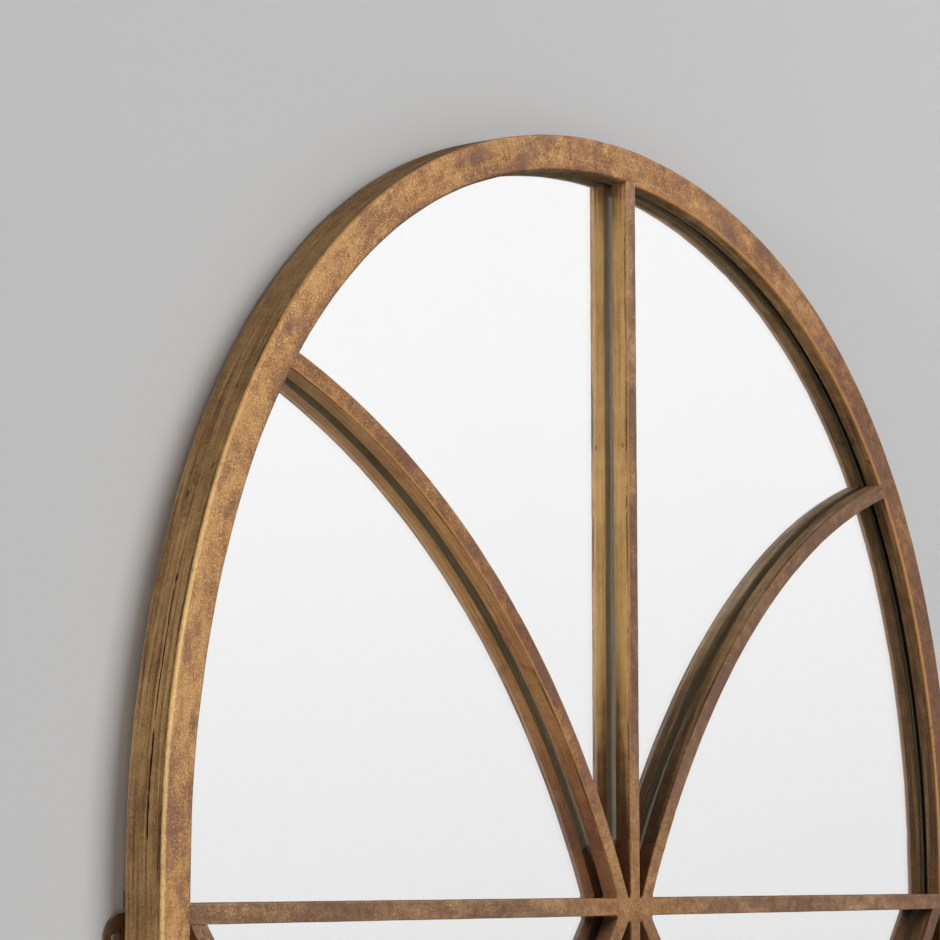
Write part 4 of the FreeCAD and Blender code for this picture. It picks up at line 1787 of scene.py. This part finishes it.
    def _weather_hub(self, skin: Skin, middle: Vector) -> None:
        """Lay the grain along a hub's arms, with the browning and painted shade of their bars and their
        worn, highlighted edges.

        Args:
            skin: The hub's mesh.
            middle: The middle of the hub.
        """
        worn, calm, age = (skin.verts.layers.float.new(name) for name in ("worn", "calm", "age"))
        run = skin.loops.layers.uv.new("Run")
        arms = self._arms()
        for face in sorted(skin.faces, key=facing):
            is_face = face.normal.y < self.eased_front
            out = face.calc_center_median() - middle
            out.y = 0.0
            along, patina = arms[int(np.argmax([out.dot(way) for way, _ in arms]))]
            across = Vector((along.z, 0.0, -along.x))
            face.material_index = int(Zone.FACE if is_face else Zone.SIDE)
            # The hub's sides take the painted shade of the bars beside it.
            own, met = self.hub_patina.side, patina.side + patina.painted_hub_shade
            if is_face:
                own, met = self.hub_patina.face, patina.face - patina.glow
            for loop in face.loops:
                place = loop.vert.co - middle
                beside = place.dot(across) if is_face else loop.vert.co.y
                loop[run].uv = (place.dot(along), beside)
                loop.vert[age] = own + (met - own) * min(1.0, place.dot(along) / self.reach)
                loop.vert[calm] = self.hub_patina.calm
                if self.flat_front < face.normal.y < self.eased_front:
                    loop.vert[worn] = self.hub_rub


@dataclass
class Glazing:
    """The glass with its silver, the tape before it and the card behind it."""

    levels: Levels
    outline: ArchOutline
    arris: float = 0.0005
    film_gap: float = 0.00006
    step: float = 0.006

    def build(self) -> None:
        """Build the glass and dress what touches it."""
        low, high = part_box("mirror_glass")
        inset = self.levels.half_width - high.x
        back = high.y - self.film_gap
        rings = [(inset + self.arris, low.y), (inset, low.y + self.arris), (inset, back - self.arris),
                 (inset + self.arris, back)]
        points = [point for ring in rings for point in self._ring(*ring)]
        count = len(points) // len(rings)
        faces = [list(range(count)), list(range(len(points) - count, len(points)))]
        for base in range(0, len(points) - count, count):
            for index in range(count):
                beside = (index + 1) % count
                faces.append([base + index, base + beside, base + count + beside, base + count + index])
        mesh = bpy.data.meshes.new("polished_mirror_glass")
        mesh.from_pydata(points, [], faces)
        mesh.materials.append(CLEAR_GLASS.material())
        placed(mesh, "clear_glass", "mirror_glass")
        dress_node("silver_backing", SILVERING)
        dress_node("spacer_tape", FOAM_TAPE)
        dress_node("packing_strips", BROWN_CARD)

    def _ring(self, inset: float, depth: float) -> list[Triple]:
        """Trace the outline from foot to foot over the crown.

        Args:
            inset: How far inside the outline it runs.
            depth: Its depth.

        Returns:
            Its points.
        """
        crown = self.outline.crown
        foot = self.levels.foot + inset - self.levels.springing
        runs = np.concatenate([[foot], np.arange(0.0, 2 * crown, self.step), [2 * crown - foot]])
        x, z = self.outline.place(runs, inset)
        return [(float(across), depth, float(height)) for across, height in zip(x, z)]


@dataclass(frozen=True, order=True)
class Block:
    """The box round one solid, from its lowest to its highest corner."""

    low: Triple
    high: Triple

    @property
    def middle(self) -> Vector:
        """Return the box's middle."""
        return (Vector(self.low) + Vector(self.high)) / 2

    @property
    def radius(self) -> float:
        """Return half the box's width."""
        return (self.high[0] - self.low[0]) / 2


@dataclass
class BackFittings:
    """The board, screws, dowels, plates and pads behind the mirror."""

    head_steps: int = 28
    screw_profile: Sequence[Point] = ((1.0, 0.0), (0.96, 0.03), (0.5, 0.15), (0.5, 0.78), (0.02, 1.0))
    screw_turn: float = 0.7
    recess_reach: float = 0.56
    recess_half: float = 0.13
    recess_depth: float = 0.0011
    recess_floor: float = 0.6
    pad_round: float = 0.0006
    pad_bevel: float = 0.3
    pad_core: float = 0.5

    def build(self) -> None:
        """Build the screws and pads, and dress the rest."""
        dress_node("back_panel", HARDBOARD)
        for node in ("frame_dowels", "bar_dowels"):
            dress_node(node, DOWEL_WOOD)
        dress_node("layer_screws", PLATED_STEEL)
        for side in Side:
            dress_node("wall_plate_" + side.word, AGED_BRASS_IN_PAINTED_SHADE)
        for node in ("panel_screws", "plate_screws"):
            self._screws(node)
        self._pads("wall_bumpers")

    @staticmethod
    def _blocks(node: str) -> list[Block]:
        """Find the boxes round the separate solids of a node.

        Args:
            node: The node's name.

        Returns:
            The boxes, in the order of their lowest corners.
        """
        skin = node_skin(node)
        left = set(skin.verts)
        blocks = []
        while left:
            front = [left.pop()]
            places = []
            while front:
                vert = front.pop()
                places.append(tuple(vert.co))
                for edge in vert.link_edges:
                    other = edge.other_vert(vert)
                    if other in left:
                        left.remove(other)
                        front.append(other)
            blocks.append(Block(tuple(map(min, zip(*places))), tuple(map(max, zip(*places)))))
        skin.free()
        return sorted(blocks)

    def _screws(self, node: str) -> None:
        """Build a node's countersunk screws with crossed recesses.

        Args:
            node: The node that they stand for.
        """
        skin = bmesh.new()
        for index, block in enumerate(self._blocks(node)):
            self._screw(skin, block, index * self.screw_turn)
        skinned(skin, "crossed_" + node, (PLATED_STEEL,), "plated_steel", node)

    def _screw(self, skin: Skin, block: Block, turn: float) -> None:
        """Add one screw.

        Args:
            skin: The mesh that it goes into.
            block: The box round its solid.
            turn: How far its recess is turned.
        """
        middle, head, radius = block.middle, block.high[1], block.radius
        length = head - block.low[1]
        rings = [self._loop(skin, middle, head - length * depth, self._circle(radius * share))
                 for share, depth in self.screw_profile]
        recess = self._cross(radius, turn)
        sunk = [(x * self.recess_floor, z * self.recess_floor) for x, z in recess]
        rim = self._loop(skin, middle, head, recess)
        floor = self._loop(skin, middle, head - self.recess_depth, sunk)
        for first, second in [*zip(rings, rings[1:]), (rim, floor)]:
            self._band(skin, first, second)
        skin.faces.new(floor)
        skin.faces.new(rings[-1])
        edges = []
        for loop in (rings[0], rim):
            for pair in zip(loop, loop[1:] + loop[:1]):
                edges.append(skin.edges.get(pair) or skin.edges.new(pair))
        bmesh.ops.triangle_fill(skin, use_beauty=True, edges=edges)

    def _circle(self, radius: float) -> list[Point]:
        """Return the points of a circle."""
        angles = np.linspace(0.0, 2 * math.pi, self.head_steps, endpoint=False)
        return [(radius * math.cos(angle), radius * math.sin(angle)) for angle in angles]

    def _cross(self, radius: float, turn: float) -> list[Point]:
        """Draw the outline of a crossed recess.

        Args:
            radius: The radius of the screw's head.
            turn: How far the recess is turned.

        Returns:
            The points of the outline.
        """
        reach, half = radius * self.recess_reach, radius * self.recess_half
        points = []
        for quarter in range(4):
            angle = turn + quarter * math.pi / 2
            for x, z in ((half, half), (half, reach), (-half, reach)):
                points.append((x * math.cos(angle) - z * math.sin(angle),
                               x * math.sin(angle) + z * math.cos(angle)))
        return points

    @staticmethod
    def _loop(skin: Skin, middle: Vector, depth: float, outline: Sequence[Point]) -> Loop:
        """Add the points of an outline about a middle at a depth."""
        return [skin.verts.new((middle.x + x, depth, middle.z + z)) for x, z in outline]

    @staticmethod
    def _band(skin: Skin, first: Loop, second: Loop) -> None:
        """Add the faces between two loops.

        Args:
            skin: The mesh that they go into.
            first: The first loop.
            second: The second loop, with as many points.
        """
        for index in range(len(first)):
            beside = (index + 1) % len(first)
            skin.faces.new((first[index], first[beside], second[beside], second[index]))

    def _pads(self, node: str) -> None:
        """Build the felt pads with soft rims.

        Args:
            node: The node that they stand for.
        """
        skin = bmesh.new()
        for block in self._blocks(node):
            radius, top, soft = block.radius, block.high[1], self.pad_round
            bevel = self.pad_bevel * soft
            rings = [(radius, block.low[1]), (radius, top - soft), (radius - bevel, top - bevel),
                     (radius - soft, top), (radius * self.pad_core, top)]
            loops = [self._loop(skin, block.middle, depth, self._circle(size)) for size, depth in rings]
            for first, second in zip(loops, loops[1:]):
                self._band(skin, first, second)
            skin.faces.new(loops[0])
            skin.faces.new(loops[-1])
        skinned(skin, "felt_" + node, (GREY_FELT,), "grey_felt", node)


@dataclass(frozen=True)
class Lamp:
    """A soft square lamp: its name, place, size and power in watts."""

    name: str
    place: Triple
    size: float
    power: float


@dataclass
class Studio:
    """The camera, the soft light, a pale floor and a plain backdrop."""

    eye: Triple = (-1.7969, -1.1370, 0.0356)
    pitch: float = math.radians(97.599)
    yaw: float = math.radians(-55.254)
    lens: float = 115.85
    sensor: float = 36.0
    lamps: Sequence[Lamp] = (
        Lamp("key_light", (4.1, -7.9, 3.4), 5.9, 690.0),
        Lamp("side_light", (-6.0, -0.42, 0.6), 0.5, 170.0),
        Lamp("back_light", (0.0, 4.0, -0.33), 1.0, 45.0))
    aim: Triple = (0.0, 0.0, 0.1)
    ambient: Colour = (0.015, 0.015, 0.015)
    low_sky: Colour = (0.85, 0.85, 0.85)
    high_sky: Colour = (1.0, 1.0, 1.0)
    back_sky: Colour = (0.52, 0.52, 0.52)
    rise_span: Point = (-0.05, 0.20)
    back_span: Point = (-0.1, 0.3)
    floor_drop: float = 0.35
    stage_half: float = 14.0
    backdrop_half: float = 5.0
    backdrop_gap: float = 0.0006
    backdrop_tone: Colour = (0.665, 0.665, 0.665)
    floor_tone: Colour = (0.66, 0.655, 0.645)
    floor_glow: float = 0.38
    sheet_rough: float = 0.9
    sheet_sheen: float = 0.1

    def build(self) -> None:
        """Set the camera, lights and stage."""
        scene = bpy.context.scene
        scene.view_settings.view_transform = "Standard"
        self._camera(scene)
        self._world(scene)
        for lamp in self.lamps:
            self._light(scene, lamp)
        self._floor()
        self._backdrop()

    def _camera(self, scene: bpy.types.Scene) -> None:
        """Set the camera where the photograph was taken from.

        Args:
            scene: The scene that it goes into.
        """
        data = bpy.data.cameras.new("camera")
        data.lens = self.lens
        data.sensor_width = self.sensor
        camera = bpy.data.objects.new("camera", data)
        camera.location = self.eye
        camera.rotation_euler = (self.pitch, 0.0, self.yaw)
        scene.collection.objects.link(camera)
        scene.camera = camera

    def _world(self, scene: bpy.types.Scene) -> None:
        """Light the mirror evenly, and show it a pale background in what it reflects.

        Args:
            scene: The scene that is lit.
        """
        world = bpy.data.worlds.new("studio")
        world.use_nodes = True
        scene.world = world
        board = NodeBoard(world.node_tree)
        background = world.node_tree.nodes["Background"]
        parts = board.add("ShaderNodeSeparateXYZ", {0: board.add("ShaderNodeTexCoord")["Generated"]})
        pale = board.blend(board.span(parts["Z"], self.rise_span), self.low_sky, self.high_sky)
        shown = board.blend(board.span(parts["Y"], self.back_span), pale, self.back_sky)
        board.feed(background.inputs["Color"], board.blend(self._seen(board), self.ambient, shown))
        background.inputs["Strength"].default_value = 1.0

    @staticmethod
    def _seen(board: NodeBoard) -> Socket:
        """Tell the rays that the camera sees by, straight or by way of the glass.

        Args:
            board: The nodes that ask.

        Returns:
            1 for such a ray, and 0 for any other.
        """
        rays = board.add("ShaderNodeLightPath")
        seen = board.maths("MAXIMUM", rays["Is Camera Ray"], rays["Is Glossy Ray"])
        return board.maths("MAXIMUM", seen, rays["Is Transmission Ray"])

    def _light(self, scene: bpy.types.Scene, lamp: Lamp) -> None:
        """Add a lamp that isn't seen itself.

        Args:
            scene: The scene that it goes into.
            lamp: The lamp.
        """
        data = bpy.data.lights.new(lamp.name, "AREA")
        data.size = lamp.size
        data.energy = lamp.power
        light = bpy.data.objects.new(lamp.name, data)
        light.location = lamp.place
        light.rotation_euler = (Vector(self.aim) - Vector(lamp.place)).to_track_quat("-Z", "Y").to_euler()
        light.visible_camera = False
        light.visible_transmission = False
        scene.collection.objects.link(light)

    def _sheet(self, name: str, corners: Sequence[Triple], tone: Colour) -> bpy.types.NodeTree:
        """Add a flat stage sheet.

        Args:
            name: Its name.
            corners: Its corners.
            tone: Its colour.

        Returns:
            Its material's nodes.
        """
        mesh = bpy.data.meshes.new(name)
        mesh.from_pydata(corners, [], [list(range(len(corners)))])
        sheet = bpy.data.objects.new(name, mesh)
        bpy.context.scene.collection.objects.link(sheet)
        material = bpy.data.materials.new(name)
        material.use_nodes = True
        shader = material.node_tree.nodes["Principled BSDF"].inputs
        shader["Base Color"].default_value = (*tone, 1.0)
        shader["Roughness"].default_value = self.sheet_rough
        shader["Specular IOR Level"].default_value = self.sheet_sheen
        mesh.materials.append(material)
        return material.node_tree

    def _floor(self) -> None:
        """Lay the pale floor below the mirror."""
        half, level = self.stage_half, CAD_BOX[0].z - self.floor_drop
        corners = [(-half, -half, level), (half, -half, level), (half, half, level), (-half, half, level)]
        tree = self._sheet("floor", corners, self.floor_tone)
        board = NodeBoard(tree)
        shader = tree.nodes["Principled BSDF"].inputs
        shader["Emission Color"].default_value = (1.0, 1.0, 1.0, 1.0)
        glow = board.maths("MULTIPLY", self._seen(board), self.floor_glow)
        board.feed(shader["Emission Strength"], glow)

    def _backdrop(self) -> None:
        """Stand the backdrop behind the mirror, for the camera alone and only from the front."""
        half, level = self.backdrop_half, CAD_BOX[0].z - self.floor_drop
        depth = CAD_BOX[1].y + self.backdrop_gap
        corners = [(-half, depth, level), (half, depth, level), (half, depth, half), (-half, depth, half)]
        tree = self._sheet("backdrop", corners, self.backdrop_tone)
        board = NodeBoard(tree)
        seen = board.add("ShaderNodeLightPath")["Is Camera Ray"]
        front = board.maths("SUBTRACT", 1.0, board.add("ShaderNodeNewGeometry")["Backfacing"])
        mixed = board.add("ShaderNodeMixShader", {
            0: board.maths("MULTIPLY", seen, front), 1: board.add("ShaderNodeBsdfTransparent")[0],
            2: tree.nodes["Principled BSDF"].outputs[0]})
        board.feed(tree.nodes["Material Output"].inputs["Surface"], mixed[0])


def main() -> None:
    """Build the mirror's sub-assemblies in order, and the studio round them."""
    logging.basicConfig(level=logging.INFO, format="%(name)s: %(message)s")
    levels = Levels.from_frame()
    outline = ArchOutline(levels.half_width, levels.springing)
    assemblies = [
        FrontFrame(levels, outline),
        BackFrame(levels, outline),
        Tracery(levels, outline),
        Glazing(levels, outline),
        BackFittings(),
        Studio(),
    ]
    for assembly in assemblies:
        LOG.info("building %s", type(assembly).__name__)
        assembly.build()


if __name__ == "__main__":
    main()
